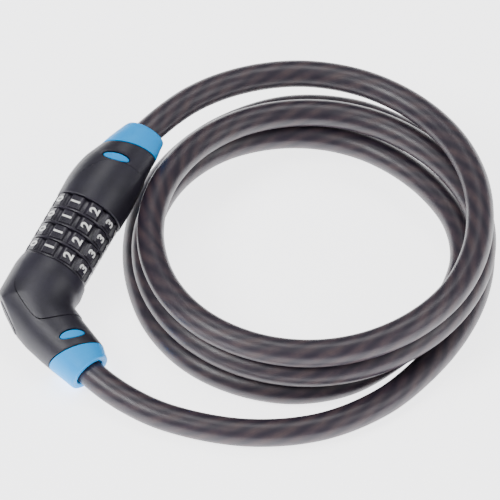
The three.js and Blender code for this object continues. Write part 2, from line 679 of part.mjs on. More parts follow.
// A round cable along one run of a path, from one of its points to another, one step for each point.
function cableGeometry(path, from, to) {
  const span = path.points.length - 1;
  const run = new THREE.Curve();
  run.getPoint = (t, target) => path.getPoint((from + (to - from) * t) / span, target);
  run.getUtoTmapping = (u) => u;
  const section = new THREE.Shape();
  for (let i = 0; i < CABLE_SIDES; i++) {
    const a = (2 * Math.PI * (i + 0.5)) / CABLE_SIDES;
    const corner = [CABLE_R * Math.cos(a), CABLE_R * Math.sin(a)];
    if (i === 0) section.moveTo(...corner);
    else section.lineTo(...corner);
  }
  section.closePath();
  const steps = Math.round(to - from);
  return new THREE.ExtrudeGeometry(section, { steps, bevelEnabled: false, extrudePath: run });
}

// ---------- assembly ----------

const lock = new THREE.Group();
lock.position.set(...LOCK_AT);
lock.rotation.set(rad(LOCK_ROLL), -rad(LOCK_RISE), rad(LOCK_YAW), 'ZYX');
lock.updateMatrixWorld(true);

function add(group, name, geometry, material) {
  const mesh = new THREE.Mesh(geometry, material);
  mesh.name = name;
  group.add(mesh);
  return mesh;
}

const MATERIALS = {
  elbow_shell: BLACK_NYLON,
  elbow_cover: BLACK_NYLON,
  lower_window_insert: BLUE_PLASTIC,
  lower_ferrule_pin: STEEL,
  plug_shell: BLACK_NYLON,
  plug_cover: BLACK_NYLON,
  plug_collar: BLUE_PLASTIC,
  plug_window_insert: BLUE_PLASTIC,
  plug_pin: STEEL,
  plug_ferrule: ZINC,
  plug_ferrule_pin: STEEL,
  plug_rope_end: STEEL,
};
for (const [name, body] of Object.entries({ ...elbowPieces(), ...plugPieces() })) {
  add(lock, name, geometryOf(body), MATERIALS[name]);
}

const turnedInArm = (profile) => solid(inArm(turned(profile, HOLE_ROUND)));
const lowerCollar = solid(inArm(armWarp(turned(collarProfile(ARM_SEAM, ARM_COLLAR_RADII, ARM_SPIGOT)))))
  .subtract(turnedInArm(collarBore(ARM_FERRULE_AT + FERRULE_LENGTH, ARM_END)));
const lowerRopeEnd = turnedInArm(ropeProfile(ARM_FERRULE_AT, ARM_CABLE_AT));
add(lock, 'lower_collar', geometryOf(lowerCollar), BLUE_PLASTIC);
add(lock, 'lower_ferrule', geometryOf(turnedInArm(ferruleProfile(ARM_FERRULE_AT))), ZINC);
add(lock, 'lower_rope_end', geometryOf(lowerRopeEnd), STEEL);

add(lock, 'core_tube', geometryOf(coreTube()), STEEL);
add(lock, 'retaining_ring', geometryOf(retainingRing()), STEEL);
add(lock, 'core_pin', crossPin(CORE_PIN_AT, 0, -CROSS_PIN_HALF, CROSS_PIN_HALF, CROSS_PIN_R), STEEL);

for (let i = 0; i < DIAL_COUNT; i++) {
  const dial = add(lock, `dial_${i + 1}`, dialGeometry(), DIAL_PLASTIC);
  dial.position.x = dialStart(i);
  dial.rotation.x = rad(DIAL_PHASE);
  const codeRing = add(lock, `code_ring_${i + 1}`, codeRingGeometry(), BRASS);
  codeRing.position.x = dialStart(i);
  const spring = add(lock, `detent_spring_${i + 1}`, springGeometry(), STEEL);
  spring.position.x = dialCentre(i);
  spring.rotation.x = Math.PI;
}

const lockPoint = (x, y) => new THREE.Vector3(x, y, 0).applyMatrix4(lock.matrixWorld);
const armPoint = (x) => new THREE.Vector3(x, 0, 0).applyMatrix4(ARM_FRAME).applyMatrix4(lock.matrixWorld);

const coilPoints = [];
for (let i = 0; i <= COIL_STEPS; i++) {
  coilPoints.push(coilPoint(COIL_FROM + ((COIL_TO - COIL_FROM) * i) / COIL_STEPS));
}
const plugEnd = [PLUG_CABLE_AT, PLUG_END].map((x) => lockPoint(x, plugLean(x)));
const tail = ARM_TAIL.map(([x, y, z]) => new THREE.Vector3(COIL_AT[0] + x, COIL_AT[1] + y, z));
const route = [...plugEnd, ...coilPoints, ...tail, armPoint(ARM_END), armPoint(ARM_CABLE_AT)];
const path = new THREE.CatmullRomCurve3(route, false, 'centripetal');
const split = plugEnd.length + LEAD_STEPS;
const gap = FIT / route[split].distanceTo(route[split - 1]);

const part = new THREE.Group();
part.add(lock);
add(part, 'cable_lead', cableGeometry(path, 0, split - gap), CABLE_SHEATH);
add(part, 'cable_coil', cableGeometry(path, split, route.length - 1), CABLE_SHEATH);

export default part;
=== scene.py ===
"""Looks of a coiled cable lock with four number dials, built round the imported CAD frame.

Sizes are in millimetres in the lock body's own frame: X runs along the dials' axis from the elbow
to the plug, Y points to the outer side of the bend and Z to the front. The origin is where the
dials' axis meets the axis of the lower arm. Finished meshes are in metres in the row frame.
"""

import json
import logging
import math
from collections.abc import Callable
from dataclasses import dataclass, field
from enum import Enum

import bmesh
import bpy
import numpy as np
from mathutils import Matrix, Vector


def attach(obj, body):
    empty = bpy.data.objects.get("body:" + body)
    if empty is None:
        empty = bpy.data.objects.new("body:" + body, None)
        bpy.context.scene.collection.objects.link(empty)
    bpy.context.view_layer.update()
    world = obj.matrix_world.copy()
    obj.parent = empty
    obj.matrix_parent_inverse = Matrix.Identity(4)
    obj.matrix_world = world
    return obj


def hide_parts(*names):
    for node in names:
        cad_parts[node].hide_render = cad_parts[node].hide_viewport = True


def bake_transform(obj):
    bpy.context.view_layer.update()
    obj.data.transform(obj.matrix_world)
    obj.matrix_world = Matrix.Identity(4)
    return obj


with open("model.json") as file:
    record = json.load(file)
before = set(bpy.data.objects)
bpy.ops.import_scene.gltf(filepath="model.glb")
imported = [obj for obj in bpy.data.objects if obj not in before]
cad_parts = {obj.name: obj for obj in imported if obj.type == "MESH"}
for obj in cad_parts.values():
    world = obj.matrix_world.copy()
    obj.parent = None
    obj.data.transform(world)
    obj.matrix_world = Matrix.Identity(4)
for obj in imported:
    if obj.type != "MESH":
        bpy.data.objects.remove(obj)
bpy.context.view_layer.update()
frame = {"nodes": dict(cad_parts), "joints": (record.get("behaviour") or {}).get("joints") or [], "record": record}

log = logging.getLogger("cable_lock")
MM = 0.001
Array = np.ndarray


# ---------- small helpers ----------


def hex_colour(code: str) -> tuple[float, float, float, float]:
    """Turns an sRGB hex colour into linear red, green, blue and alpha.

    Args:
        code: Six hex digits, such as "2a2830".

    Returns:
        The linear colour with an alpha of 1.
    """
    channels = [int(code[i : i + 2], 16) / 255 for i in (0, 2, 4)]
    linear = [c / 12.92 if c <= 0.04045 else ((c + 0.055) / 1.055) ** 2.4 for c in channels]
    return (linear[0], linear[1], linear[2], 1.0)


def per_metre(size_mm: float) -> float:
    """Returns how many features of a size in millimetres fit in a metre."""
    return 1.0 / (size_mm * MM)


def add_node(
    tree: bpy.types.NodeTree,
    kind: str,
    inputs: dict[str | int, object] | None = None,
    **settings: object,
) -> bpy.types.Node:
    """Adds a node to a tree with its settings and links.

    Args:
        tree: The node tree.
        kind: The node's type name.
        inputs: Input name or number to a plain value, or to an output socket that is linked in.
        settings: Attributes of the node itself.

    Returns:
        The new node.
    """
    node = tree.nodes.new(kind)
    for name, value in settings.items():
        setattr(node, name, value)
    for name, value in (inputs or {}).items():
        if isinstance(value, bpy.types.NodeSocket):
            tree.links.new(value, node.inputs[name])
        else:
            node.inputs[name].default_value = value
    return node


def link_surface(
    tree: bpy.types.NodeTree,
    shader: bpy.types.Node,
    colour: bpy.types.Node,
    rough: bpy.types.Node,
    bump: bpy.types.Node,
) -> None:
    """Links a finish's colour, roughness and relief into its main shader.

    Args:
        tree: The node tree.
        shader: Its main shader.
        colour: The node that mixes the colour.
        rough: The node that gives the roughness.
        bump: The node that gives the relief.
    """
    tree.links.new(colour.outputs[2], shader.inputs["Base Color"])
    tree.links.new(rough.outputs[0], shader.inputs["Roughness"])
    tree.links.new(bump.outputs[0], shader.inputs["Normal"])


def smooth_profile(knots: list[tuple[float, float]], at: Array) -> Array:
    """Interpolates a profile smoothly through its knots, without overshoot.

    Args:
        knots: (distance, radius) pairs in rising order of distance.
        at: The distances wanted.

    Returns:
        The radii at those distances.
    """
    x = np.array([k[0] for k in knots], float)
    y = np.array([k[1] for k in knots], float)
    h = np.diff(x)
    slope = np.diff(y) / h
    tangent = np.concatenate([[slope[0]], np.zeros(len(x) - 2), [slope[-1]]])
    for i in range(1, len(x) - 1):
        if slope[i - 1] * slope[i] > 0:
            tangent[i] = 2 * slope[i - 1] * slope[i] / (slope[i - 1] + slope[i])
    i = np.clip(np.searchsorted(x, at, side="right") - 1, 0, len(x) - 2)
    t = np.clip((at - x[i]) / h[i], 0, 1)
    rise = (2 * t**3 - 3 * t**2 + 1) * y[i] + (-2 * t**3 + 3 * t**2) * y[i + 1]
    return rise + h[i] * ((t**3 - 2 * t**2 + t) * tangent[i] + (t**3 - t**2) * tangent[i + 1])


def spline_outline(points: list[tuple[float, float]], steps: int = 10) -> list[tuple[float, float]]:
    """Runs an even cubic spline through the points of an open outline.

    Args:
        points: The points that it passes through.
        steps: Steps between two neighbouring points.

    Returns:
        The points of the smooth line.
    """
    p = np.array([points[0], *points, points[-1]], float)
    line = []
    for i in range(len(points) - 1):
        for t in np.arange(steps) / steps:
            a = 2 * p[i + 1] + (p[i + 2] - p[i]) * t
            b = (2 * p[i] - 5 * p[i + 1] + 4 * p[i + 2] - p[i + 3]) * t**2
            c = (3 * p[i + 1] - p[i] - 3 * p[i + 2] + p[i + 3]) * t**3
            line.append(tuple((a + b + c) / 2))
    return [*line, points[-1]]


def outline_distance(x: Array, y: Array, outline: list[tuple[float, float]]) -> Array:
    """Measures how far points lie inside a closed outline.

    Args:
        x: First coordinates of the points.
        y: Second coordinates of the points.
        outline: The outline's corners.

    Returns:
        The distance to the outline: above zero inside and below zero outside.
    """
    nearest = np.full(x.shape, np.inf)
    inside = np.zeros(x.shape, bool)
    corners = np.array(outline, float)
    for (x0, y0), (x1, y1) in zip(corners, np.roll(corners, -1, axis=0)):
        dx, dy = x1 - x0, y1 - y0
        t = np.clip(((x - x0) * dx + (y - y0) * dy) / max(dx * dx + dy * dy, 1e-12), 0, 1)
        nearest = np.minimum(nearest, np.hypot(x - x0 - t * dx, y - y0 - t * dy))
        if y0 != y1:
            crosses = (y0 > y) != (y1 > y)
            inside ^= crosses & (x < x0 + (y - y0) * dx / dy)
    return np.where(inside, nearest, -nearest)


def rounded(x: Array, radius: float) -> Array:
    """Returns how far a rounded edge lies below its flat, x from the edge."""
    t = np.clip(1 - x / radius, 0, 1)
    return radius * (1 - np.sqrt(1 - t * t))


def turns_of(sides: int) -> Array:
    """Returns the even angles of a ring's points, in radians."""
    return 2 * np.pi * np.arange(sides) / sides


def turned_rings(
    profile: list[tuple[float, float]], sides: int, warp: Callable[[Array, Array, Array], Array]
) -> Array:
    """Turns a profile about the X axis and warps it.

    Args:
        profile: (distance, radius) of each ring.
        sides: How many points each ring has.
        warp: Gives points from their straight X, Y and Z.

    Returns:
        The rings' points, by ring and side.
    """
    turns = turns_of(sides)
    return np.array(
        [warp(np.full(sides, x), r * np.cos(turns), r * np.sin(turns)) for x, r in profile]
    )


def mesh_piece(
    name: str, points: Array, faces: list[tuple[int, ...]], sharp_degrees: float = 40.0
) -> bpy.types.Object:
    """Makes a smooth-shaded mesh object from points in metres.

    Args:
        name: The piece's name.
        points: Corners in the row frame, one row each.
        faces: Corner numbers of each face.
        sharp_degrees: Edges bent more than this stay crisp.

    Returns:
        The new object, linked to the scene.
    """
    mesh = bpy.data.meshes.new(name)
    mesh.from_pydata(points.tolist(), [], faces)
    mesh.shade_smooth()
    mesh.set_sharp_from_angle(angle=math.radians(sharp_degrees))
    mesh.update()
    piece = bpy.data.objects.new(name, mesh)
    bpy.context.scene.collection.objects.link(piece)
    return piece


def tube_faces(rings: int, sides: int, closed_loop: bool = False) -> list[tuple[int, ...]]:
    """Lists the faces of rings of points joined one to the next.

    Args:
        rings: How many rings there are.
        sides: How many points each ring has.
        closed_loop: Whether the last ring joins the first; otherwise both ends are capped.

    Returns:
        Corner numbers of each face, facing outwards for rings that turn left about their travel.
    """
    faces = []
    for i in range(rings if closed_loop else rings - 1):
        a, b = i * sides, ((i + 1) % rings) * sides
        faces += [(a + k, a + (k + 1) % sides, b + (k + 1) % sides, b + k) for k in range(sides)]
    if not closed_loop:
        faces.append(tuple(reversed(range(sides))))
        faces.append(tuple(range((rings - 1) * sides, rings * sides)))
    return faces


def add_bevel(piece: bpy.types.Object, width_mm: float, degrees: float = 40.0) -> None:
    """Rounds the crisp edges of a piece a little, as moulding and tumbling leave them."""
    bevel = piece.modifiers.new("edge", "BEVEL")
    bevel.width = width_mm * MM
    bevel.segments = 3
    bevel.limit_method = "ANGLE"
    bevel.angle_limit = math.radians(degrees)
    bevel.harden_normals = True


def dress(
    piece: bpy.types.Object, body: str, slot: str, material: bpy.types.Material, *nodes: str
) -> bpy.types.Object:
    """Gives a piece its material and body, and hides the CAD nodes that it stands for."""
    piece.data.materials.clear()
    piece.data.materials.append(material)
    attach(piece, body)
    if nodes:
        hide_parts(*nodes)
    log.info("%s rides on %s", piece.name, body)
    return piece


# ---------- the lock body's frame ----------


class LockFrame:
    """The lock body's own frame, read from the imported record's dial joint and facet mount."""

    DIAL_1_CENTRE = 23.15  # along the axis from the origin

    def __init__(self) -> None:
        """Works the axes out from the frame."""
        joint = next(j for j in frame["joints"] if j["name"] == "dial_1_turn")
        mount = next(m for m in frame["record"]["mounts"] if m["name"] == "elbow_facet")
        self.x = Vector(joint["axis"]).normalized()
        self.z = self.x.cross(Vector(mount["axis"])).normalized()
        self.y = self.z.cross(self.x)
        self.origin = Vector(joint["pos_m"]) - self.x * (self.DIAL_1_CENTRE * MM)

    def place(self, points: Array) -> Array:
        """Turns points in lock millimetres into row metres.

        Args:
            points: Points with their three coordinates on the last axis.

        Returns:
            The same points, one row each, in metres.
        """
        axes = np.array([self.x, self.y, self.z])
        return points.reshape(-1, 3) @ axes * MM + np.array(self.origin)


LOCK = LockFrame()


# ---------- finishes ----------


@dataclass(frozen=True)
class MouldedNylon:
    """Glass-filled nylon, injection moulded in a spark-eroded tool.

    The tool's fine pitting gives a satin black that breaks highlights into a soft haze, with faint
    flow marks where the melt met. The pits are really 0.1 mm; they are drawn at 0.45 mm to show.
    """

    name: str = "moulded nylon"
    dark: str = "17151f"
    light: str = "272432"
    roughness: float = 0.45
    pit_mm: float = 0.45
    flow_mm: float = 14.0
    pit_depth_mm: float = 0.05
    ior: float = 1.53

    def make(self) -> bpy.types.Material:
        """Builds the material."""
        material, tree, shader = new_material(self.name)
        where = add_node(tree, "ShaderNodeTexCoord").outputs["Object"]
        flow = add_node(
            tree, "ShaderNodeTexNoise",
            {"Vector": where, "Scale": per_metre(self.flow_mm), "Detail": 3.0, "Distortion": 0.6},
        )
        pits = add_node(
            tree, "ShaderNodeTexNoise",
            {"Vector": where, "Scale": per_metre(self.pit_mm), "Detail": 2.0, "Roughness": 0.6},
        )
        mixed = add_node(
            tree, "ShaderNodeMath",
            {0: flow.outputs["Fac"], 1: pits.outputs["Fac"]}, operation="ADD",
        )
        tint = add_node(
            tree, "ShaderNodeMapRange",
            {"Value": mixed.outputs[0], "From Min": 0.7, "From Max": 1.3},
        )
        colour = add_node(
            tree, "ShaderNodeMix",
            {"Factor": tint.outputs[0], 6: hex_colour(self.dark), 7: hex_colour(self.light)},
            data_type="RGBA",
        )
        rough = add_node(
            tree, "ShaderNodeMapRange",
            {"Value": pits.outputs["Fac"], "From Min": 0.3, "From Max": 0.7,
             "To Min": self.roughness - 0.07, "To Max": self.roughness + 0.09},
        )
        bump = add_node(
            tree, "ShaderNodeBump",
            {"Height": pits.outputs["Fac"], "Strength": 0.55, "Distance": self.pit_depth_mm * MM},
        )
        link_surface(tree, shader, colour, rough, bump)
        shader.inputs["IOR"].default_value = self.ior
        return material


@dataclass(frozen=True)
class TintedABS:
    """Through-coloured ABS, injection moulded in a polished tool and lightly handled.

    It is bright and even with a soft gloss. A wide orange-peel ripple makes its highlights swim,
    and a few dull patches show where it is held.
    """

    name: str = "tinted ABS"
    colour: str = "009cf0"
    pale: str = "00abfa"
    roughness: float = 0.46
    ripple_mm: float = 3.2
    patch_mm: float = 11.0
    ripple_depth_mm: float = 0.05
    ior: float = 1.54
    specular_level: float = 0.22
    glow_through: float = 0.04  # share of the light that goes under the skin
    glow_mm: tuple[float, float, float] = (0.4, 0.9, 1.4)

    def make(self) -> bpy.types.Material:
        """Builds the material."""
        material, tree, shader = new_material(self.name)
        where = add_node(tree, "ShaderNodeTexCoord").outputs["Object"]
        patch = add_node(
            tree, "ShaderNodeTexNoise",
            {"Vector": where, "Scale": per_metre(self.patch_mm), "Detail": 4.0},
        )
        ripple = add_node(
            tree, "ShaderNodeTexNoise",
            {"Vector": where, "Scale": per_metre(self.ripple_mm), "Detail": 1.0},
        )
        colour = add_node(
            tree, "ShaderNodeMix",
            {"Factor": patch.outputs["Fac"], 6: hex_colour(self.colour), 7: hex_colour(self.pale)},
            data_type="RGBA",
        )
        rough = add_node(
            tree, "ShaderNodeMapRange",
            {"Value": patch.outputs["Fac"], "From Min": 0.35, "From Max": 0.65,
             "To Min": self.roughness - 0.05, "To Max": self.roughness + 0.07},
        )
        bump = add_node(
            tree, "ShaderNodeBump",
            {"Height": ripple.outputs["Fac"], "Strength": 0.3, "Distance": self.ripple_depth_mm * MM},
        )
        link_surface(tree, shader, colour, rough, bump)
        shader.inputs["IOR"].default_value = self.ior
        shader.inputs["Specular IOR Level"].default_value = self.specular_level
        shader.inputs["Subsurface Weight"].default_value = self.glow_through
        shader.inputs["Subsurface Radius"].default_value = tuple(r * MM for r in self.glow_mm)
        return material


@dataclass(frozen=True)
class FilledInk:
    """White epoxy ink, wiped into the moulded numerals and baked.

    It is a flat chalky white with a slight unevenness, and grey where the dial's black shows
    through thin spots.
    """

    name: str = "filled white ink"
    white: str = "f4f4f1"
    thin: str = "bdbcc0"
    spot_mm: float = 0.9
    roughness: float = 0.55

    def make(self) -> bpy.types.Material:
        """Builds the material."""
        material, tree, shader = new_material(self.name)
        where = add_node(tree, "ShaderNodeTexCoord").outputs["Object"]
        spots = add_node(
            tree, "ShaderNodeTexNoise",
            {"Vector": where, "Scale": per_metre(self.spot_mm), "Detail": 3.0},
        )
        thinness = add_node(
            tree, "ShaderNodeMapRange",
            {"Value": spots.outputs["Fac"], "From Min": 0.58, "From Max": 0.8},
        )
        colour = add_node(
            tree, "ShaderNodeMix",
            {"Factor": thinness.outputs[0], 6: hex_colour(self.white), 7: hex_colour(self.thin)},
            data_type="RGBA",
        )
        tree.links.new(colour.outputs[2], shader.inputs["Base Color"])
        shader.inputs["Roughness"].default_value = self.roughness
        return material


@dataclass(frozen=True)
class SmokySheath:
    """Smoke-tinted PVC, extruded over a laid steel rope.

    The twisted strands show through as faint slanting bands of warm grey under a violet-black
    haze. The surface has the soft gloss of extrusion, with slight drag lines and small scuffs.
    U of the mesh's map is the distance along the cable in metres and V is the turn around it.
    """

    name: str = "smoky PVC sheath"
    haze: str = "2d2432"
    strand: str = "4a3b3d"
    deep: str = "241d2a"
    strands: int = 6
    lay_mm: float = 75.0  # length in which a strand goes once round the rope
    wires: int = 5  # wires seen across one strand
    scuff_mm: float = 7.0
    drag_mm: float = 1.1
    wander_mm: float = 16.0
    wander_turns: float = 0.09  # how far the strands stray from an even lay
    strand_share: float = 0.35  # height of the strands next to the drag lines
    relief_mm: float = 0.06
    ior: float = 1.53
    coat: float = 0.08
    coat_roughness: float = 0.22

    def make(self) -> bpy.types.Material:
        """Builds the material."""
        material, tree, shader = new_material(self.name)
        route = add_node(tree, "ShaderNodeUVMap", uv_map="route")
        split = add_node(tree, "ShaderNodeSeparateXYZ", {0: route.outputs[0]})
        along, around = split.outputs[0], split.outputs[1]
        where = add_node(tree, "ShaderNodeTexCoord").outputs["Object"]
        turns = add_node(
            tree, "ShaderNodeMath",
            {0: along, 1: per_metre(self.lay_mm), 2: around}, operation="MULTIPLY_ADD",
        )
        wobble = add_node(
            tree, "ShaderNodeTexNoise",
            {"Vector": where, "Scale": per_metre(self.wander_mm), "Detail": 2.0},
        )
        loose = add_node(
            tree, "ShaderNodeMath",
            {0: wobble.outputs["Fac"], 1: self.wander_turns, 2: turns.outputs[0]},
            operation="MULTIPLY_ADD",
        )
        waves = []
        for count in (self.strands, self.strands * self.wires):
            angle = add_node(
                tree, "ShaderNodeMath",
                {0: loose.outputs[0], 1: 2 * math.pi * count}, operation="MULTIPLY",
            )
            wave = add_node(tree, "ShaderNodeMath", {0: angle.outputs[0]}, operation="SINE")
            waves.append(
                add_node(
                    tree, "ShaderNodeMapRange",
                    {"Value": wave.outputs[0], "From Min": -1.0, "From Max": 1.0},
                ).outputs[0]
            )
        patches = add_node(
            tree, "ShaderNodeTexNoise",
            {"Vector": where, "Scale": per_metre(self.scuff_mm), "Detail": 4.0, "Roughness": 0.6},
        )
        seen = add_node(
            tree, "ShaderNodeMapRange",
            {"Value": patches.outputs["Fac"], "From Min": 0.3, "From Max": 0.7,
             "To Min": 0.1, "To Max": 1.0},
        )
        wires = add_node(
            tree, "ShaderNodeMapRange", {"Value": waves[1], "To Min": 0.82, "To Max": 1.0}
        )
        band = add_node(
            tree, "ShaderNodeMath", {0: waves[0], 1: wires.outputs[0]}, operation="MULTIPLY"
        )
        shown = add_node(
            tree, "ShaderNodeMath", {0: band.outputs[0], 1: seen.outputs[0]}, operation="MULTIPLY"
        )
        base = add_node(
            tree, "ShaderNodeMix",
            {"Factor": waves[0], 6: hex_colour(self.deep), 7: hex_colour(self.haze)},
            data_type="RGBA",
        )
        colour = add_node(
            tree, "ShaderNodeMix",
            {"Factor": shown.outputs[0], 6: base.outputs[2], 7: hex_colour(self.strand)},
            data_type="RGBA",
        )
        drag = add_node(
            tree, "ShaderNodeTexNoise",
            {"Vector": where, "Scale": per_metre(self.drag_mm), "Detail": 2.0},
        )
        rough = add_node(
            tree, "ShaderNodeMapRange",
            {"Value": patches.outputs["Fac"], "From Min": 0.3, "From Max": 0.7,
             "To Min": 0.36, "To Max": 0.5},
        )
        height = add_node(
            tree, "ShaderNodeMath",
            {0: waves[0], 1: self.strand_share, 2: drag.outputs["Fac"]},
            operation="MULTIPLY_ADD",
        )
        bump = add_node(
            tree, "ShaderNodeBump",
            {"Height": height.outputs[0], "Strength": 0.3, "Distance": self.relief_mm * MM},
        )
        link_surface(tree, shader, colour, rough, bump)
        shader.inputs["IOR"].default_value = self.ior
        shader.inputs["Coat Weight"].default_value = self.coat
        shader.inputs["Coat Roughness"].default_value = self.coat_roughness
        return material


class MetalKind(Enum):
    """The lock's bare metals: name, dark and light colour, roughness and spacing of the marks."""

    TURNED_STEEL = ("turned steel", "6f747a", "a4a9af", 0.3, 0.35)
    CAST_ZINC = ("die-cast zinc", "8f9398", "b9bdc2", 0.42, 1.2)
    TURNED_BRASS = ("turned brass", "9c7a3c", "d0ad68", 0.28, 0.35)


@dataclass(frozen=True)
class BareMetal:
    """A bare metal, turned on a lathe or die cast.

    Turning leaves fine rings round the dials' axis, which draw each highlight into streaks along
    it; casting leaves a soft mottle. The rings are really 0.1 mm apart and are drawn wider.
    """

    kind: MetalKind

    def make(self) -> bpy.types.Material:
        """Builds the material."""
        name, dark, light, roughness, mark_mm = self.kind.value
        material, tree, shader = new_material(name)
        where = add_node(tree, "ShaderNodeTexCoord").outputs["Object"]
        marks = add_node(
            tree, "ShaderNodeTexNoise",
            {"Vector": where, "Scale": per_metre(mark_mm), "Detail": 2.0},
        )
        if self.kind is not MetalKind.CAST_ZINC:
            along = add_node(
                tree, "ShaderNodeVectorMath", {0: where, 1: tuple(LOCK.x)}, operation="DOT_PRODUCT"
            )
            marks.noise_dimensions = "1D"
            tree.links.new(along.outputs["Value"], marks.inputs["W"])
        colour = add_node(
            tree, "ShaderNodeMix",
            {"Factor": marks.outputs["Fac"], 6: hex_colour(dark), 7: hex_colour(light)},
            data_type="RGBA",
        )
        rough = add_node(
            tree, "ShaderNodeMapRange",
            {"Value": marks.outputs["Fac"], "To Min": roughness - 0.06, "To Max": roughness + 0.1},
        )
        bump = add_node(
            tree, "ShaderNodeBump",
            {"Height": marks.outputs["Fac"], "Strength": 0.4, "Distance": 0.04 * MM},
        )
        link_surface(tree, shader, colour, rough, bump)
        shader.inputs["Metallic"].default_value = 1.0
        return material


def new_material(
    name: str,
) -> tuple[bpy.types.Material, bpy.types.NodeTree, bpy.types.Node]:
    """Starts a material.

    Args:
        name: The material's name.

    Returns:
        The material, its node tree and its main shader.
    """
    material = bpy.data.materials.new(name)
    material.use_nodes = True
    return material, material.node_tree, material.node_tree.nodes["Principled BSDF"]


@dataclass(frozen=True)
class Finishes:
    """One material for each finish on the lock."""

    nylon: bpy.types.Material
    dial: bpy.types.Material
    blue: bpy.types.Material
    ink: bpy.types.Material
    sheath: bpy.types.Material
    steel: bpy.types.Material
    zinc: bpy.types.Material
    brass: bpy.types.Material

    @classmethod
    def make(cls) -> "Finishes":
        """Builds every finish."""
        dial = MouldedNylon("moulded dial nylon", "1f1d26", "34303b", 0.3, 0.4, 8.0, 0.03)
        return cls(
            nylon=MouldedNylon().make(),
            dial=dial.make(),
            blue=TintedABS().make(),
            ink=FilledInk().make(),
            sheath=SmokySheath().make(),
            steel=BareMetal(MetalKind.TURNED_STEEL).make(),
            zinc=BareMetal(MetalKind.CAST_ZINC).make(),
            brass=BareMetal(MetalKind.TURNED_BRASS).make(),
        )


# ---------- camera, light and floor ----------


@dataclass
class Studio:
    """A pale floor, soft light and a long lens, as goods are shown in a catalogue."""

    aim_mm: tuple[float, float, float] = (73.8, 7.1, 20.0)
    elevation: float = 48.5  # degrees
    distance: float = 2.0
    lens: float = 330.0
    floor_glow: float = 3.0  # the card lies on a light table

    def camera(self) -> None:
        """Makes the camera, in line with +Y and above the floor."""
        data = bpy.data.cameras.new("camera")
        data.lens = self.lens
        data.clip_start = 0.05
        camera = bpy.data.objects.new("camera", data)
        bpy.context.scene.collection.objects.link(camera)
        tilt = math.radians(self.elevation)
        back = Vector((0, -math.cos(tilt), math.sin(tilt)))
        camera.location = Vector(self.aim_mm) * MM + back * self.distance
        camera.rotation_euler = (math.pi / 2 - tilt, 0, 0)
        bpy.context.scene.camera = camera

    def floor(self) -> None:
        """Makes the floor, a wide sheet of pale card."""
        half = 4.0
        corners = np.array([[-half, -half, 0], [half, -half, 0], [half, half, 0], [-half, half, 0]])
        floor = mesh_piece("floor", corners, [(0, 1, 2, 3)])
        material, tree, shader = new_material("pale card")
        where = add_node(tree, "ShaderNodeTexCoord").outputs["Object"]
        grain = add_node(tree, "ShaderNodeTexNoise", {"Vector": where, "Scale": per_metre(2.0)})
        colour = add_node(
            tree, "ShaderNodeMix",
            {"Factor": grain.outputs["Fac"], 6: hex_colour("f3f3f3"), 7: hex_colour("f7f7f7")},
            data_type="RGBA",
        )
        tree.links.new(colour.outputs[2], shader.inputs["Base Color"])
        shader.inputs["Roughness"].default_value = 0.9
        shader.inputs["Specular IOR Level"].default_value = 0.1
        shader.inputs["Emission Color"].default_value = hex_colour("fbfbfd")
        shader.inputs["Emission Strength"].default_value = self.floor_glow
        floor.data.materials.append(material)

    def lamp(
        self, name: str, place: tuple[float, float, float], size: float, watts: float
    ) -> None:
        """Hangs one square soft box that faces the object.

        Args:
            name: The lamp's name.
            place: Where it hangs, in metres.
            size: Length of its side in metres.
            watts: Its power.
        """
        data = bpy.data.lights.new(name, "AREA")
        data.size = size
        data.energy = watts
        lamp = bpy.data.objects.new(name, data)
        bpy.context.scene.collection.objects.link(lamp)
        lamp.location = place
        toward = Vector(self.aim_mm) * MM - Vector(place)
        lamp.rotation_euler = toward.to_track_quat("-Z", "Y").to_euler()

    def light(self) -> None:
        """Hangs the soft boxes and fills the room with pale light."""
        self.lamp("key", (-0.9, -0.5, 1.3), 0.6, 18.0)
        self.lamp("fill", (1.2, -0.6, 0.9), 0.8, 7.0)
        self.lamp("top", (0.1, 0.5, 1.6), 0.8, 9.0)
        world = bpy.data.worlds.new("room")
        world.use_nodes = True
        room = world.node_tree.nodes["Background"]
        room.inputs["Color"].default_value = hex_colour("f4f5f8")
        room.inputs["Strength"].default_value = 0.36
        bpy.context.scene.world = world


# ---------- cable ----------


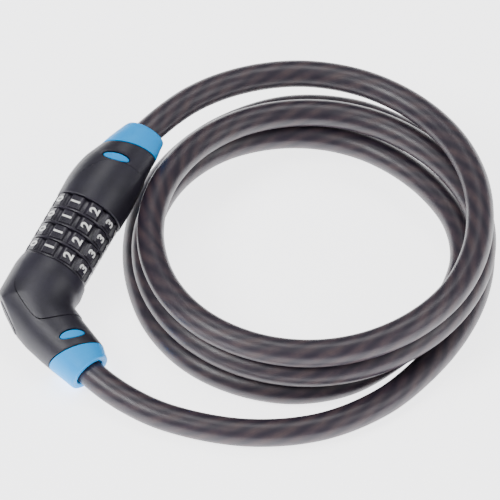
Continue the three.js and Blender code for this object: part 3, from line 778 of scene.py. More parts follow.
@dataclass
class Cable:
    """The sheathed cable: out of the plug, nearly four turns clockwise and down to the lower arm.

    Its route has the same points as the CAD nodes. The stretch from the plug to the coil
    is a piece of its own.
    """

    radius: float = 6.0
    coil_centre: tuple[float, float] = (101.65, 10.77)
    first_station: float = 135.0  # degrees
    station_step: float = 45.0
    coil_from: float = 129.0
    coil_to: float = -1206.0
    coil_steps: int = 72
    lead_steps: int = 4
    tail: tuple[float, float, float] = (-82.5, -76.1, 7.2)  # from the coil's centre
    sides: int = 28
    ring_step: float = 1.5
    stations: list[tuple[float, float]] = field(
        default_factory=lambda: [
            (84.7, 43.0), (81.0, 42.4), (75.5, 40.8), (72.0, 39.4), (73.4, 36.6), (72.2, 31.2),
            (73.4, 31.2), (71.1, 31.2), (70.1, 31.2), (68.8, 30.3), (69.2, 28.8), (73.4, 27.0),
            (73.3, 24.0), (72.4, 18.6), (74.0, 18.6), (73.6, 18.6), (71.8, 18.5), (66.6, 17.6),
            (62.9, 16.6), (65.6, 15.8), (64.4, 13.4), (71.4, 6.0), (76.0, 6.0), (77.6, 6.0),
            (86.4, 6.0), (95.0, 6.0), (85.5, 6.0), (73.6, 6.0), (74.4, 6.0), (92.4, 6.0), (111.0, 6.0),
        ]
    )

    def station(self, position: float) -> Array:
        """Returns (radius, height) of the coil at a place counted in stations."""
        s = np.array(self.stations)
        s = np.vstack([2 * s[0] - s[1], s, 2 * s[-1] - s[-2]])
        i = min(int(position), len(self.stations) - 2)
        t = position - i
        p0, p1, p2, p3 = s[i : i + 4]
        cubic = 3 * p1 - p0 - 3 * p2 + p3
        return (2 * p1 + (p2 - p0) * t + (2 * p0 - 5 * p1 + 4 * p2 - p3) * t**2 + cubic * t**3) / 2

    def coil_point(self, degrees: float) -> Array:
        """Returns the coil's centre line at an angle, in row millimetres."""
        r, z = self.station((self.first_station - degrees) / self.station_step)
        a = math.radians(degrees)
        x, y = self.coil_centre
        return np.array([x + r * math.cos(a), y + r * math.sin(a), max(self.radius, z)])

    def route(self) -> Array:
        """Returns the route's points in row millimetres, from inside the plug to inside the elbow."""
        at_plug = [[x, Plug.lean_at(x), 0.0] for x in (Plug.CABLE_AT, Plug.END)]
        at_arm = Elbow.arm_to_lock(np.array([[Elbow.ARM_END, 0, 0], [Elbow.CABLE_AT, 0, 0]], float))
        span = (self.coil_to - self.coil_from) / self.coil_steps
        coil = [self.coil_point(self.coil_from + span * i) for i in range(self.coil_steps + 1)]
        tail = np.array([*self.coil_centre, 0.0]) + np.array(self.tail)
        start = LOCK.place(np.array(at_plug)) / MM
        return np.vstack([start, coil, tail, LOCK.place(at_arm) / MM])

    def line(self) -> tuple[Array, float]:
        """Draws the smooth line through the route.

        Returns:
            Evenly spaced points in row millimetres, and the distance along them to the split.
        """
        p = self.route()
        p = np.vstack([2 * p[0] - p[1], p, 2 * p[-1] - p[-2]])
        fine, split_at = [], 0
        steps = 24
        for i in range(len(p) - 3):
            if i == 2 + self.lead_steps:
                split_at = len(fine)
            p0, p1, p2, p3 = p[i : i + 4]
            d0, d1, d2 = (math.sqrt(np.linalg.norm(b - a)) for a, b in ((p0, p1), (p1, p2), (p2, p3)))
            m1 = ((p1 - p0) / d0 - (p2 - p0) / (d0 + d1) + (p2 - p1) / d1) * d1
            m2 = ((p2 - p1) / d1 - (p3 - p1) / (d1 + d2) + (p3 - p2) / d2) * d1
            for t in np.arange(steps) / steps:
                bend = (-3 * p1 + 3 * p2 - 2 * m1 - m2) * t**2 + (2 * p1 - 2 * p2 + m1 + m2) * t**3
                fine.append(p1 + m1 * t + bend)
        fine.append(p[-2])
        line = np.array(fine)
        far = np.concatenate([[0], np.cumsum(np.linalg.norm(np.diff(line, axis=0), axis=1))])
        even = np.linspace(0, far[-1], round(far[-1] / self.ring_step) + 1)
        points = np.stack([np.interp(even, far, line[:, k]) for k in range(3)], axis=1)
        return points, float(far[split_at])

    def rings(self, line: Array) -> Array:
        """Draws the sheath's rings round a line, turned as little as can be from one to the next.

        Args:
            line: Points of the centre line.

        Returns:
            Ring points, by ring and side.
        """
        ways = np.gradient(line, axis=0)
        ways /= np.linalg.norm(ways, axis=1)[:, None]
        side = np.cross(ways[0], [0, 0, 1.0])
        rings = []
        angles = turns_of(self.sides)
        for point, way in zip(line, ways):
            side = side - way * (side @ way)
            side /= np.linalg.norm(side)
            up = np.cross(way, side)
            ring = np.outer(np.cos(angles), side) + np.outer(np.sin(angles), up)
            rings.append(point + self.radius * ring)
        return np.array(rings)

    def tube(self, name: str, rings: Array, first: int) -> bpy.types.Object:
        """Makes one run of the sheath, with its map of distance and turn.

        Args:
            name: The piece's name.
            rings: Its rings in row millimetres.
            first: Number of its first ring along the whole cable.

        Returns:
            The piece.
        """
        faces = tube_faces(len(rings), self.sides)
        piece = mesh_piece(name, rings.reshape(-1, 3) * MM, faces)
        route = piece.data.uv_layers.new(name="route")
        for face in piece.data.polygons:
            wraps = any(piece.data.loops[i].vertex_index % self.sides == 0 for i in face.loop_indices)
            wraps = wraps and len(face.vertices) == 4
            last = any(v % self.sides == self.sides - 1 for v in face.vertices)
            for i in face.loop_indices:
                ring, side = divmod(piece.data.loops[i].vertex_index, self.sides)
                turn = 1.0 if side == 0 and wraps and last else side / self.sides
                route.data[i].uv = ((first + ring) * self.ring_step * MM, turn)
        return piece

    def build(self, finishes: Finishes) -> None:
        line, split_mm = self.line()
        rings = self.rings(line)
        split = round(split_mm / self.ring_step)
        lead = self.tube("cable_lead_sheath", rings[: split + 1], 0)
        coil = self.tube("cable_coil_sheath", rings[split:], split)
        lead.data.materials.append(finishes.sheath)
        mouth = LOCK.place(np.array([[Plug.END, Plug.lean_at(Plug.END), 0.0]]))[0]
        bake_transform(lead)
        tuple(mouth)
        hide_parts("cable_lead")
        dress(coil, "root", "cable_sheath", finishes.sheath, "cable_coil")
        for piece, run in ((lead, line[: split + 1]), (coil, line[split:][::-1])):
            length = float(np.linalg.norm(np.diff(run, axis=0), axis=1).sum()) * MM
            log.info("%s is %.3f m long", piece.name, length)


# ---------- shells ----------


@dataclass
class Window:
    """A blue oval window let into the front of a shell, long across it."""

    along: float
    turn: float  # degrees that it is turned round the shell from the front
    tilt: float  # degrees that it leans from square across
    length: float = 12.4
    width: float = 4.8
    clearance: float = 0.55
    recess: float = 0.3
    edge_drop: float = 0.45
    thickness: float = 1.1
    rings: int = 12
    sides: int = 72

    def outline(self) -> list[tuple[float, float]]:
        """Returns the oval's corners in its own plane."""
        return [
            (self.width / 2 * math.cos(a), self.length / 2 * math.sin(a))
            for a in turns_of(self.sides)
        ]

    def to_own(self, points: Array) -> Array:
        """Turns points of an arm's straight frame into the window's own frame."""
        x = points[..., 0] - self.along
        c, s = math.cos(math.radians(self.turn)), math.sin(math.radians(self.turn))
        y, z = points[..., 1] * c - points[..., 2] * s, points[..., 1] * s + points[..., 2] * c
        c, s = math.cos(math.radians(self.tilt)), math.sin(math.radians(self.tilt))
        return np.stack([x * c + y * s, y * c - x * s, z], axis=-1)

    def to_arm(self, points: Array) -> Array:
        """Turns points of the window's own frame into the arm's straight frame."""
        c, s = math.cos(math.radians(self.tilt)), math.sin(math.radians(self.tilt))
        x, y = points[..., 0] * c - points[..., 1] * s, points[..., 0] * s + points[..., 1] * c
        z = points[..., 2]
        c, s = math.cos(math.radians(self.turn)), math.sin(math.radians(self.turn))
        return np.stack([x + self.along, y * c + z * s, z * c - y * s], axis=-1)

    def inside(self, points: Array) -> Array:
        """Measures how far inside the oval points of the arm's frame lie, on its front only."""
        own = self.to_own(points)
        distance = outline_distance(own[..., 0], own[..., 1], self.outline())
        return np.where(own[..., 2] > 0, distance, -9.0)

    def insert(
        self, radius_at: Callable[[Array], Array]
    ) -> tuple[Array, list[tuple[int, ...]]]:
        """Draws the blue insert, softly dished and rounded at its edge.

        Args:
            radius_at: Radius of the shell at distances along its arm.

        Returns:
            Its points in the arm's frame, and its faces.
        """
        shares = 1 - (1 - np.linspace(0.04, 1, self.rings)) ** 1.6
        turns = turns_of(self.sides)
        across = self.width / 2 - self.clearance
        along = self.length / 2 - self.clearance
        x = np.outer(shares, across * np.cos(turns))
        y = np.outer(shares, along * np.sin(turns))
        arm = self.to_arm(np.stack([x, y, np.zeros_like(x)], axis=-1))
        reach = radius_at(arm[..., 0])
        turned = self.to_own(arm)
        c, s = math.cos(math.radians(self.tilt)), math.sin(math.radians(self.tilt))
        sideways = turned[..., 0] * s + turned[..., 1] * c
        edge = self.edge_drop * (shares**10)[:, None]
        dish = self.recess * (1 - shares**4)[:, None]
        z = np.sqrt(reach**2 - sideways**2) - dish - edge
        top = np.stack([x, y, z], axis=-1)
        wall = top[-1:] - np.array([0, 0, self.thickness])
        rings = np.concatenate([wall, top[::-1]])
        return self.to_arm(rings), tube_faces(len(rings), self.sides)


class Skin:
    """A fine grid on a shell's outside, whose lines are drawn to the outlines that cross it."""

    def __init__(
        self, along: Array, sides: int, shape: Callable[[Array, Array, Array], Array]
    ) -> None:
        """Lays the grid.

        Args:
            along: Distances of its rows along the shell.
            sides: Number of its columns.
            shape: Gives points from distance, turn and rise above the plain skin.
        """
        turns = turns_of(sides)
        self.u, self.v = np.meshgrid(along, turns, indexing="ij")
        self.shape = shape
        self.row_step = np.gradient(along)[:, None]
        self.column_step = 2 * np.pi / sides

    def points(self, rise: Array | float = 0.0) -> Array:
        """Returns the grid's points at a rise above the plain skin."""
        return self.shape(self.u, self.v, np.broadcast_to(rise, self.u.shape))

    def snap(self, distance: Callable[[Array], Array]) -> Array:
        """Moves the nearest grid points on to an outline, so that it comes out crisp.

        Args:
            distance: Gives how far inside the outline each point lies.

        Returns:
            The distance inside the outline at each grid point, zero on the line.
        """
        inside = distance(self.points())
        down = np.gradient(inside, axis=0)
        across = (np.roll(inside, -1, axis=1) - np.roll(inside, 1, axis=1)) / 2
        steep = np.maximum(down**2 + across**2, 1e-9)
        near = (np.abs(inside) < 0.5 * np.sqrt(steep)) & (np.sqrt(steep) < 1.5)
        for _ in range(3):
            move = np.where(near, -inside / steep, 0.0)
            self.u += np.clip(move * down, -0.5, 0.5) * self.row_step
            self.v += np.clip(move * across, -0.5, 0.5) * self.column_step
            inside = distance(self.points())
        return np.where(near, 0.0, inside)

    def panel(self, inside: Array, top: Array, bottom: Array) -> tuple[Array, list[tuple[int, ...]]]:
        """Cuts a closed panel out of the grid along an outline.

        Args:
            inside: Distance inside the outline at each grid point.
            top: Points of its outer face.
            bottom: Points of its inner face.

        Returns:
            The panel's points and faces.
        """
        rows, columns = inside.shape
        keep = inside >= 0
        number = np.arange(rows * columns).reshape(rows, columns)
        faces = []
        for i in range(rows - 1):
            for k in range(columns):
                j = (k + 1) % columns
                corners = [(i, k), (i, j), (i + 1, j), (i + 1, k)]
                kept = [int(number[c]) for c in corners if keep[c]]
                if len(kept) >= 3 and any(inside[c] > 0 for c in corners):
                    faces.append(tuple(kept))
        total = rows * columns
        edges = dict.fromkeys(
            pair for face in faces for pair in zip(face, face[1:] + face[:1])
        )
        rim = [(a, b) for a, b in edges if (b, a) not in edges]
        lower = [tuple(v + total for v in reversed(face)) for face in faces]
        walls = [(b, a, a + total, b + total) for a, b in rim]
        both = np.concatenate([top.reshape(-1, 3), bottom.reshape(-1, 3)])
        return compact(both, faces + lower + walls)


def compact(points: Array, faces: list[tuple[int, ...]]) -> tuple[Array, list[tuple[int, ...]]]:
    """Drops the points that no face uses."""
    used = sorted({v for face in faces for v in face})
    renumber = {v: i for i, v in enumerate(used)}
    return points[used], [tuple(renumber[v] for v in face) for face in faces]


@dataclass
class Shell:
    """What the two black shells share: a skin with a cover panel and a window let into it."""

    sides: int = 384
    row_step: float = 0.3
    edge: float = 0.5
    cover_depth: float = 1.2
    cover_rise: float = 0.4
    clearance: float = 0.3
    window_sink: float = 1.9
    lip: float = 0.16
    cover_bevel: float = 0.3

    def rows(self, start: float, stop: float) -> Array:
        """Returns row distances from one end of a skin to the other, closer at its round edges."""
        fine = np.array([0, 0.06, 0.14, 0.24, 0.36]) * self.edge * 2
        middle = np.arange(start + self.edge, stop - self.edge, self.row_step)
        return np.concatenate([start + fine, middle[1:], stop - fine[::-1]])

    def sunk(self, cover: Array, window: Array) -> Array:
        """Returns how far the shell rises: sunk under its cover and window, with a lip round that.

        Args:
            cover: Distance inside the cover's outline.
            window: Distance inside the window's outline.

        Returns:
            The rise above the plain skin.
        """
        lip = self.lip * np.exp(-((window / 0.8) ** 2)) * (window <= 0)
        rise = np.where(cover > 0.01, -self.cover_depth, lip * (cover <= 0.01))
        return np.where(window > 0.01, -self.window_sink, rise)


    def build_cover(
        self,
        shell: str,
        body: str,
        skin: Skin,
        outline: list[tuple[float, float]],
        finishes: Finishes,
        inside_out: bool = False,
    ) -> None:
        """Makes the raised cover panel of a shell.

        Args:
            shell: The shell's name.
            body: The body that it rides on.
            skin: A fresh grid on the shell.
            outline: The panel's outline in side view.
            finishes: The lock's finishes.
            inside_out: Whether the grid's faces point inwards.
        """
        inside = skin.snap(lambda p: outline_distance(p[..., 0], p[..., 1], outline))
        points, faces = skin.panel(
            inside, skin.points(self.cover_rise), skin.points(self.clearance - self.cover_depth)
        )
        faces = [face[::-1] for face in faces] if inside_out else faces
        panel = mesh_piece(f"{shell}_cover_panel", LOCK.place(points), faces)
        add_bevel(panel, self.cover_bevel)
        dress(panel, body, "black_nylon", finishes.nylon, f"{shell}_cover")


class Plug(Shell):
    """The straight shell that pulls off, with its collar, cover, window and locking pin."""

    START = 51.3
    SEAM = 84.3
    END = 96.0
    CABLE_AT = 84.5
    MOUTH_R = 14.0
    SEAT_R = 10.2
    SEAT_START = 81.0
    RING_END = 54.3
    PIN_HOLE_R = 4.4
    PIN_END = 64.0
    FERRULE_ROOM_R = 7.9
    LEAN_START = 60.0
    LEAN_RADIUS = 147.0
    SEAM_WAVE = 2.75
    SEAM_REACH = 10.0
    RADII = [(0, 15.4), (9, 15.6), (15, 15.25), (21, 14.45), (27, 13.15), (33, 11.85)]
    COLLAR_RADII = [(0, 11.85), (4, 11.05), (8, 10.05), (10.8, 9.35), (11.7, 8.65)]

    @classmethod
    def lean_at(cls, x: float | Array) -> float | Array:
        """Returns how far the centre line has leant to the inner side."""
        past = np.maximum(np.asarray(x, float) - cls.LEAN_START, 0)
        lean = -(past**2) / (2 * cls.LEAN_RADIUS)
        return float(lean) if lean.ndim == 0 else lean

    @classmethod
    def radius_at(cls, x: Array) -> Array:
        """Returns the plain skin's radius at distances along the dials' axis."""
        return smooth_profile(cls.RADII, x - cls.START)

    @classmethod
    def warp(cls, x: Array, y: Array, z: Array) -> Array:
        """Leans the seam and then the centre line."""
        r = np.maximum(np.hypot(y, z), 1e-9)
        weight = np.maximum(0, 1 - np.abs(x - cls.SEAM) / cls.SEAM_REACH)
        moved = x - cls.SEAM_WAVE * weight * y / r
        return np.stack([moved, y + cls.lean_at(moved), z], axis=-1)

    def skin_shape(self, u: Array, v: Array, rise: Array) -> Array:
        """Gives points of the shell's skin."""
        edge = rounded(u - self.START, self.edge) + rounded(self.SEAM - u, self.edge)
        r = self.radius_at(u) + rise - edge
        return self.warp(u, r * np.cos(v), r * np.sin(v))

    def cover_outline(self, inset: float) -> list[tuple[float, float]]:
        """Returns the cover panel's outline in side view."""
        curve = spline_outline(
            [
                (self.START - 1, 11.4 - inset), (57.8 - inset, 10.2 - inset),
                (65.8 - inset, 6.2 - inset), (72.1 - inset, 0.6), (74.5 - inset, -6),
                (75.6 - inset, -13), (75.9 - inset, -20),
            ]
        )
        return [*curve, (self.START - 1, -20)]

    def build_shell(self, finishes: Finishes, window: Window) -> None:
        """Makes the shell with its hollow, and the cover panel on it."""
        skin = Skin(self.rows(self.START, self.SEAM), self.sides, self.skin_shape)

        def in_window(points: Array) -> Array:
            """Measures how far inside the window points lie."""
            x, y, z = points[..., 0], points[..., 1], points[..., 2]
            return window.inside(np.stack([x, y - self.lean_at(x), z], axis=-1))

        def in_cover(points: Array) -> Array:
            """Measures how far inside the cover's outline points lie."""
            return outline_distance(points[..., 0], points[..., 1], self.cover_outline(0))

        cover, hole = skin.snap(in_cover), skin.snap(in_window)
        outer = skin.points(self.sunk(cover, hole))
        # From the mouth: room for the retaining ring, the pin's hole, room for the ferrule and
        # the spigot's seat.
        hollow = [
            (self.START, self.MOUTH_R), (self.START, self.SEAT_R), (self.RING_END, self.SEAT_R - 0.2),
            (self.RING_END, self.PIN_HOLE_R), (self.PIN_END, self.PIN_HOLE_R),
            (self.PIN_END, self.FERRULE_ROOM_R), (72.0, self.FERRULE_ROOM_R),
            (self.SEAT_START, self.FERRULE_ROOM_R), (self.SEAT_START, self.SEAT_R),
            (self.SEAM, self.SEAT_R),
        ]
        rings = np.concatenate([outer, turned_rings(hollow[::-1], self.sides, self.warp)])
        faces = tube_faces(len(rings), self.sides, closed_loop=True)
        shell = mesh_piece("plug_shell_moulding", LOCK.place(rings), faces)
        dress(shell, "plug", "black_nylon", finishes.nylon, "plug_shell")

        skin = Skin(self.rows(self.START, self.SEAM), self.sides, self.skin_shape)
        self.build_cover("plug", "plug", skin, self.cover_outline(self.clearance), finishes)

        rings, faces = window.insert(self.radius_at)
        rings = rings + np.stack(
            [rings[..., 0] * 0, self.lean_at(rings[..., 0]), rings[..., 0] * 0], axis=-1
        )
        insert = mesh_piece("plug_window_lens", LOCK.place(rings), faces)
        dress(insert, "plug", "blue_plastic", finishes.blue, "plug_window_insert")


class Elbow(Shell):
    """The bent shell that holds the dials' core and the cable's lower end."""

    TOP = 19.0
    BEND_RADIUS = 20.0
    BEND = math.radians(67.1)
    ARM_SEAM = 30.3
    ARM_END = 39.8
    CABLE_AT = 28.5
    SEAM_WAVE = 4.2
    SEAM_REACH = 9.0
    END_R = 15.5
    ARC_START_R = 16.2
    ARC_END_R = 13.3
    SEAM_R = 11.85
    FACET_AT = 11.0
    FACET_TURN = math.radians(141.1)
    TANGENT = BEND_RADIUS * math.tan(BEND / 2)
    ARC_FROM = TOP - TANGENT
    ARC_TO = ARC_FROM + BEND_RADIUS * BEND
    SKIN_SEAM = ARC_TO + ARM_SEAM - TANGENT
    COLLAR_RADII = [(0, 11.85), (3, 11.15), (6, 10.45), (8.6, 9.95), (9.5, 9.25)]
    SEAT_R = 10.2
    SEAT_DEPTH = 1.9
    CABLE_SEAT_R = 6.5
    CORE_SEAT_R = 6.9
    CORE_SEAT_DEPTH = 3.0
    CORNER_ROUND = 1.2
    FACET_ROUND = 0.35

    @classmethod
    def arm_to_lock(cls, points: Array) -> Array:
        """Turns points of the lower arm's frame into the lock's frame."""
        c, s = math.cos(math.pi + cls.BEND), math.sin(math.pi + cls.BEND)
        x, y = points[..., 0], points[..., 1]
        return np.stack([x * c - y * s, x * s + y * c, points[..., 2]], axis=-1)

    @classmethod
    def lock_to_arm(cls, points: Array) -> Array:
        """Turns points of the lock's frame into the lower arm's frame."""
        c, s = math.cos(math.pi + cls.BEND), math.sin(math.pi + cls.BEND)
        x, y = points[..., 0], points[..., 1]
        return np.stack([x * c + y * s, y * c - x * s, points[..., 2]], axis=-1)

    @classmethod
    def radius_at(cls, along: Array) -> Array:
        """Returns the plain skin's radius at distances from the dials' end."""
        knots = [(0, cls.END_R), (cls.ARC_FROM, cls.ARC_START_R), (cls.ARC_TO, cls.ARC_END_R)]
        return smooth_profile([*knots, (cls.SKIN_SEAM, cls.SEAM_R)], along)

    @classmethod
    def arm_radius_at(cls, x: Array) -> Array:
        """Returns the plain skin's radius at distances along the lower arm from the corner."""
        return cls.radius_at(cls.ARC_TO + x - cls.TANGENT)

    def bend(self, along: Array, y: Array, z: Array, rise: Array) -> Array:
        """Bends a skin drawn along X, from the dials' end, round the corner.

        Args:
            along: Distances from the dials' end.
            y: Distances to the outer side.
            z: Distances to the front.
            rise: How far the points stand above the plain skin.

        Returns:
            Points of the lock's frame.
        """
        r = np.maximum(np.hypot(y, z), 1e-9)
        weight = np.maximum(0, 1 - np.abs(along - self.SKIN_SEAM) / self.SEAM_REACH)
        along = along - self.SEAM_WAVE * weight * y / r
        turn = np.clip(along - self.ARC_FROM, 0, self.ARC_TO - self.ARC_FROM) / self.BEND_RADIUS
        to_top = (self.BEND_RADIUS + self.ARC_START_R + rise) / np.cos(turn)
        to_arm = (self.BEND_RADIUS + self.ARC_END_R + rise) / np.cos(self.BEND - turn)
        gap = to_top - to_arm
        nearer = (to_top + to_arm - np.sqrt(gap**2 + self.CORNER_ROUND**2)) / 2
        plain = self.radius_at(along) + rise
        bent = (turn > 0) & (turn < self.BEND) & (y > 0)
        stretch = np.where(bent, np.maximum((nearer - self.BEND_RADIUS) / plain, 1), 1)
        out = self.BEND_RADIUS + y * stretch
        past = np.maximum(0, along - self.ARC_TO)
        x = self.TANGENT - np.sin(turn) * out - np.cos(turn) * past
        before = along <= self.ARC_FROM
        return np.stack(
            [
                np.where(before, self.TOP - along, x),
                np.where(before, y, np.cos(turn) * out - self.BEND_RADIUS - np.sin(turn) * past),
                z,
            ],
            axis=-1,
        )

    def skin_shape(self, u: Array, v: Array, rise: Array) -> Array:
        """Gives points of the shell's skin, with the outer facet planed off."""
        edge = rounded(u, self.edge) + rounded(self.SKIN_SEAM - u, self.edge)
        r = self.radius_at(u) + rise - edge
        points = self.bend(u, r * np.cos(v), r * np.sin(v), rise - edge)
        c, s = math.cos(self.FACET_TURN), math.sin(self.FACET_TURN)
        over = points[..., 0] * c + points[..., 1] * s - self.FACET_AT
        cut = (over + np.sqrt(over**2 + self.FACET_ROUND**2)) / 2
        points[..., 0] -= cut * c
        points[..., 1] -= cut * s
        return points

    def cover_outline(self, inset: float) -> list[tuple[float, float]]:
        """Returns the cover panel's outline in side view."""
        curve = spline_outline(
            [
                (self.TOP + 1, 11.2 - inset), (9, 10.2 - inset), (0.6 + inset, 7.6 - inset),
                (-5.6 + inset, -1.6), (-7.9 + inset, -7.8 + inset), (-6.6 + inset, -11.6 + inset),
                (-2, -16.6 + inset), (5, -22.4 + inset),
            ]
        )
        return [*curve, (12, -28 + inset), (self.TOP + 1, -28 + inset)]

    def build_shell(self, finishes: Finishes, window: Window) -> None:
        """Makes the shell, the cover panel on it and its window."""
        rows = self.rows(0, self.SKIN_SEAM)
        skin = Skin(rows, self.sides, self.skin_shape)

        def in_cover(points: Array) -> Array:
            """Measures how far inside the cover's outline points lie."""
            return outline_distance(points[..., 0], points[..., 1], self.cover_outline(0))

        cover = skin.snap(in_cover)
        hole = skin.snap(lambda points: window.inside(self.lock_to_arm(points)))
        outer = skin.points(self.sunk(cover, hole))
        # The collar's seat at the lower end, and the core tube's seat at the dials' end.
        seat = self.SKIN_SEAM - self.SEAT_DEPTH
        lower = [(self.SKIN_SEAM, self.SEAT_R), (seat, self.SEAT_R), (seat, self.CABLE_SEAT_R)]
        ends = turned_rings(lower, self.sides, lambda x, y, z: self.bend(x, y, z, x * 0))
        depth, core = self.CORE_SEAT_DEPTH, self.CORE_SEAT_R
        upper = [(depth, 2.0), (depth, core), (0.0, core), (0.0, 14.0)]
        starts = turned_rings(
            upper, self.sides, lambda x, y, z: np.stack([self.TOP - x, y, z], axis=-1)
        )
        rings = np.concatenate([starts, outer, ends])[::-1]
        faces = tube_faces(len(rings), self.sides)
        shell = mesh_piece("elbow_shell_moulding", LOCK.place(rings), faces)
        dress(shell, "root", "black_nylon", finishes.nylon, "elbow_shell")

        skin = Skin(rows, self.sides, self.skin_shape)
        outline = self.cover_outline(self.clearance)
        self.build_cover("elbow", "root", skin, outline, finishes, inside_out=True)

        rings, faces = window.insert(self.arm_radius_at)
        insert = mesh_piece("elbow_window_lens", LOCK.place(self.arm_to_lock(rings)), faces)
        dress(insert, "root", "blue_plastic", finishes.blue, "lower_window_insert")

    def build_pill(self, finishes: Finishes) -> None:
        """Makes the plain raised pill on the outer facet."""
        half, radius, rise = 5.5, 3.0, 0.4
        turns = np.linspace(-np.pi / 2, np.pi / 2, 20)
        right = np.stack([half + radius * np.cos(turns), radius * np.sin(turns)], axis=1)
        outline = np.concatenate([right, -right])
        away = outline - np.clip(outline, [-half, 0], [half, 0])
        away /= np.linalg.norm(away, axis=1)[:, None]
        rings = []
        for inset, height in ((0, -0.6), (0, rise - 0.25), (0.08, rise - 0.1), (0.3, rise), (0.7, rise)):
            flat = outline - away * inset
            rings.append(np.column_stack([flat, np.full(len(flat), self.FACET_AT + height)]))
        for inset, height in ((0.95, rise - 0.15), (2.9, rise - 0.15)):
            flat = outline - away * inset
            rings.append(np.column_stack([flat, np.full(len(flat), self.FACET_AT + height)]))
        points = np.array(rings)
        c, s = math.cos(self.FACET_TURN), math.sin(self.FACET_TURN)
        along, across, out = points[..., 0], points[..., 1], points[..., 2]
        placed = np.stack([out * c - along * s, out * s + along * c, across], axis=-1)
        faces = tube_faces(len(rings), len(outline))
        pill = mesh_piece("elbow_facet_pill", LOCK.place(placed), faces)
        dress(pill, "root", "black_nylon", finishes.nylon)


@dataclass
class Collar:
    """A blue collar that closes the end of a shell round the cable."""

    node: str
    body: str
    seam: float
    radii: list[tuple[float, float]]
    warp: Callable[[Array, Array, Array], Array]
    bore: float = 6.8
    spigot: float = 9.9
    spigot_depth: float = 1.5
    gap: float = 0.3
    lip: float = 0.7
    sides: int = 192

    def build(self, finishes: Finishes) -> None:
        """Makes the collar as one closed turned shape."""
        length = self.radii[-1][0]
        start = self.seam + self.gap
        x = np.concatenate([[0, 0.08, 0.2, 0.4], np.arange(0.8, length - self.lip, 0.5)])
        r = smooth_profile(self.radii, x) - rounded(x, 0.4)
        lip_turns = np.linspace(0.2, np.pi / 2, 6)
        rim = [(length - self.lip * (1 - math.sin(a)), math.cos(a)) for a in lip_turns]
        mouth = smooth_profile(self.radii, np.array([length - self.lip]))[0]
        profile = [(start - self.spigot_depth, self.spigot - 0.2), (start, self.spigot)]
        profile += [(start + a, b) for a, b in zip(x, r)]
        profile += [(start + a, mouth - self.lip * (1 - b)) for a, b in rim]
        inside = self.bore
        profile += [(start + length, inside + 0.5), (start + length - 0.35, inside + 0.1)]
        profile += [(start + length - 1, inside), (start - self.spigot_depth, inside)]
        rings = turned_rings(profile, self.sides, self.warp)
        faces = tube_faces(len(rings), self.sides, closed_loop=True)
        piece = mesh_piece(f"{self.node}_moulding", LOCK.place(rings), faces, 50)
        dress(piece, self.body, "blue_plastic", finishes.blue, self.node)


def arm_warp(x: Array, y: Array, z: Array) -> Array:
    """Leans a seam drawn along the lower arm and turns it into the lock's frame."""
    r = np.maximum(np.hypot(y, z), 1e-9)
    weight = np.maximum(0, 1 - np.abs(x - Elbow.ARM_SEAM) / Elbow.SEAM_REACH)
    return Elbow.arm_to_lock(np.stack([x + Elbow.SEAM_WAVE * weight * y / r, y, z], axis=-1))


# ---------- dials ----------


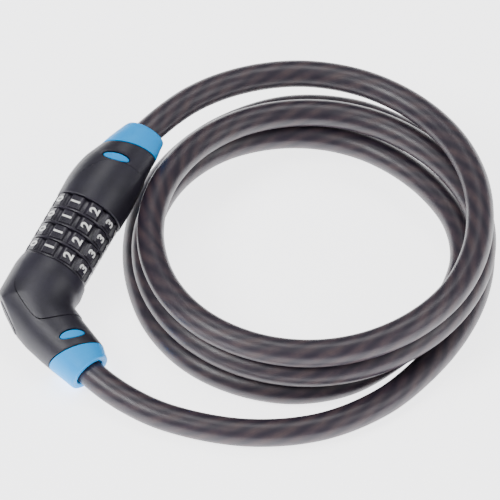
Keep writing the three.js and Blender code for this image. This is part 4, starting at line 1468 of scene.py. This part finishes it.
@dataclass
class Dials:
    """Four dials of ten flat panels with grip notches, each with a rim on the elbow's side."""

    count: int = 4
    digits: int = 10
    start: float = 19.3
    pitch: float = 8.0
    width: float = 7.7
    radius: float = 15.3
    notch_radius: float = 13.6
    bore: float = 11.0
    rim: float = 0.9
    panel_half: float = 10.0  # degrees
    phase: float = 23.9  # degrees from the front to the panel that shows
    shown_digit: int = 2
    numeral_height: float = 4.5
    numeral_rise: float = 0.06
    weld: float = 0.004
    sides: int = 480

    def height(self, turn: Array) -> Array:
        """Returns the radius round the dial where no rim is: flat panels and rounded notches."""
        step = 2 * np.pi / self.digits
        off = np.abs((turn + step / 2) % step - step / 2)
        half = math.radians(self.panel_half)
        flat = self.radius * math.cos(half) / np.cos(np.minimum(off, half))
        share = np.clip((off - half) / (step / 2 - half), 0, 1)
        dip = (self.radius - self.notch_radius) * np.sin(np.minimum(share * 1.35, 1) * np.pi / 2) ** 1.3
        soft = 0.25 * np.exp(-(((off - half) / math.radians(1.6)) ** 2))
        return flat - dip - soft * (share >= 0) * (off > half - 0.06)

    def build_dial(self, number: int, finishes: Finishes) -> None:
        """Makes one dial and its numerals."""
        start = self.start + number * self.pitch
        turns = turns_of(self.sides)
        panel = self.height(turns)
        rim_top = self.radius - 0.05
        groove = np.minimum(panel, self.radius - 0.75)
        rows = [
            (0.0, turns * 0 + rim_top - 0.3), (0.1, turns * 0 + rim_top - 0.08),
            (0.25, turns * 0 + rim_top),
            (self.rim - 0.2, turns * 0 + rim_top), (self.rim - 0.05, turns * 0 + rim_top - 0.12),
            (self.rim + 0.02, groove - 0.1), (self.rim + 0.3, groove - 0.1),
            (self.rim + 0.4, panel - 0.22), (self.rim + 0.55, panel - 0.05), (self.rim + 0.75, panel),
            (self.width / 2 + 0.5, panel), (self.width - 0.6, panel), (self.width - 0.35, panel - 0.06),
            (self.width - 0.15, panel - 0.2), (self.width, panel - 0.45),
            (self.width, turns * 0 + self.bore + 0.2), (self.width - 0.2, turns * 0 + self.bore),
            (0.2, turns * 0 + self.bore), (0.0, turns * 0 + self.bore + 0.2),
        ]
        turned = turns + math.radians(self.phase)
        rings = [
            np.stack([turns * 0 + start + x, -r * np.sin(turned), r * np.cos(turned)], axis=-1)
            for x, r in rows
        ]
        faces = tube_faces(len(rings), self.sides, closed_loop=True)
        name = f"dial_{number + 1}"
        piece = mesh_piece(f"{name}_moulding", LOCK.place(np.array(rings)), faces, 32)
        dress(piece, name, "dial_plastic", finishes.dial, name)
        self.build_numerals(number, finishes)

    def numeral_mesh(self, digit: int) -> tuple[Array, list[tuple[int, ...]]]:
        """Draws one bold digit, centred, one millimetre for each unit.

        Args:
            digit: The digit from 0 to 9.

        Returns:
            Its points and faces.
        """
        curve = bpy.data.curves.new("digit", "FONT")
        curve.body = str(digit)
        curve.size = self.numeral_height / 0.73
        curve.offset = 0.16
        curve.extrude = 0.25
        curve.resolution_u = 6
        maker = bpy.data.objects.new("digit", curve)
        mesh = bpy.data.meshes.new_from_object(maker)
        edit = bmesh.new()
        edit.from_mesh(mesh)
        bmesh.ops.remove_doubles(edit, verts=edit.verts, dist=self.weld)
        bmesh.ops.dissolve_degenerate(edit, edges=edit.edges, dist=self.weld)
        open_edges = [edge for edge in edit.edges if edge.is_boundary]
        bmesh.ops.holes_fill(edit, edges=open_edges, sides=0)
        edit.to_mesh(mesh)
        edit.free()
        points = np.array([v.co for v in mesh.vertices], float)
        faces = [tuple(p.vertices) for p in mesh.polygons]
        bpy.data.meshes.remove(mesh)
        bpy.data.objects.remove(maker)
        bpy.data.curves.remove(curve)
        middle = (points.min(0) + points.max(0)) / 2
        points[:, :2] -= middle[:2]
        points[:, 2] -= points[:, 2].max()
        return points, faces

    def build_numerals(self, number: int, finishes: Finishes) -> None:
        """Makes the ten numerals of one dial as one piece."""
        middle = self.start + number * self.pitch + (self.rim + 0.4 + self.width) / 2
        flat = self.radius * math.cos(math.radians(self.panel_half)) + self.numeral_rise
        points, faces = [], []
        for digit in range(self.digits):
            own, own_faces = self.numeral_mesh(digit)
            a = math.radians(self.phase + 360 / self.digits * (digit - self.shown_digit))
            out = own[:, 2] + flat
            y = own[:, 1] * math.cos(a) - out * math.sin(a)
            z = own[:, 1] * math.sin(a) + out * math.cos(a)
            first = sum(len(p) for p in points)
            points.append(np.column_stack([own[:, 0] + middle, y, z]))
            faces += [tuple(v + first for v in face) for face in own_faces]
        name = f"dial_{number + 1}"
        piece = mesh_piece(f"{name}_numerals", LOCK.place(np.concatenate(points)), faces, 30)
        dress(piece, name, "dial_plastic", finishes.ink)

    def build(self, finishes: Finishes) -> None:
        """Makes every dial."""
        for number in range(self.count):
            self.build_dial(number, finishes)


# ---------- inner works ----------


@dataclass
class InnerWorks:
    """The metal pieces inside, which show when the plug is pulled off."""

    steel: tuple[str, ...] = (
        "core_tube", "core_pin", "retaining_ring", "lower_ferrule_pin", "lower_rope_end", "plug_pin",
        "plug_ferrule_pin", "plug_rope_end", "detent_spring_1", "detent_spring_2", "detent_spring_3",
        "detent_spring_4",
    )
    zinc: tuple[str, ...] = ("lower_ferrule", "plug_ferrule")
    brass: tuple[str, ...] = ("code_ring_1", "code_ring_2", "code_ring_3", "code_ring_4")

    def build(self, finishes: Finishes) -> None:
        """Gives each metal node its finish and smooth shading, kept crisp at edges bent more than 35 degrees."""
        for names, material in (
            (self.steel, finishes.steel), (self.zinc, finishes.zinc), (self.brass, finishes.brass),
        ):
            for name in names:
                node = frame["nodes"][name]
                node.data.materials.clear()
                node.data.materials.append(material)
                node.data.shade_smooth()
                node.data.set_sharp_from_angle(angle=math.radians(35))
                log.info("%s finished", name)


def main() -> None:
    """Builds the whole scene in order."""
    logging.basicConfig(level=logging.INFO, format="%(name)s: %(message)s")
    studio = Studio()
    studio.camera()
    finishes = Finishes.make()
    Cable().build(finishes)
    elbow = Elbow()
    elbow.build_shell(finishes, Window(along=25.4, turn=15.7, tilt=-20))
    elbow.build_pill(finishes)
    Plug().build_shell(finishes, Window(along=75.5, turn=-5, tilt=13))
    lower = Collar("lower_collar", "root", Elbow.ARM_SEAM, Elbow.COLLAR_RADII, arm_warp)
    upper = Collar("plug_collar", "plug", Plug.SEAM, Plug.COLLAR_RADII, Plug.warp)
    for collar in (lower, upper):
        collar.build(finishes)
    Dials().build(finishes)
    InnerWorks().build(finishes)
    studio.floor()
    studio.light()


if __name__ == "__main__":
    main()
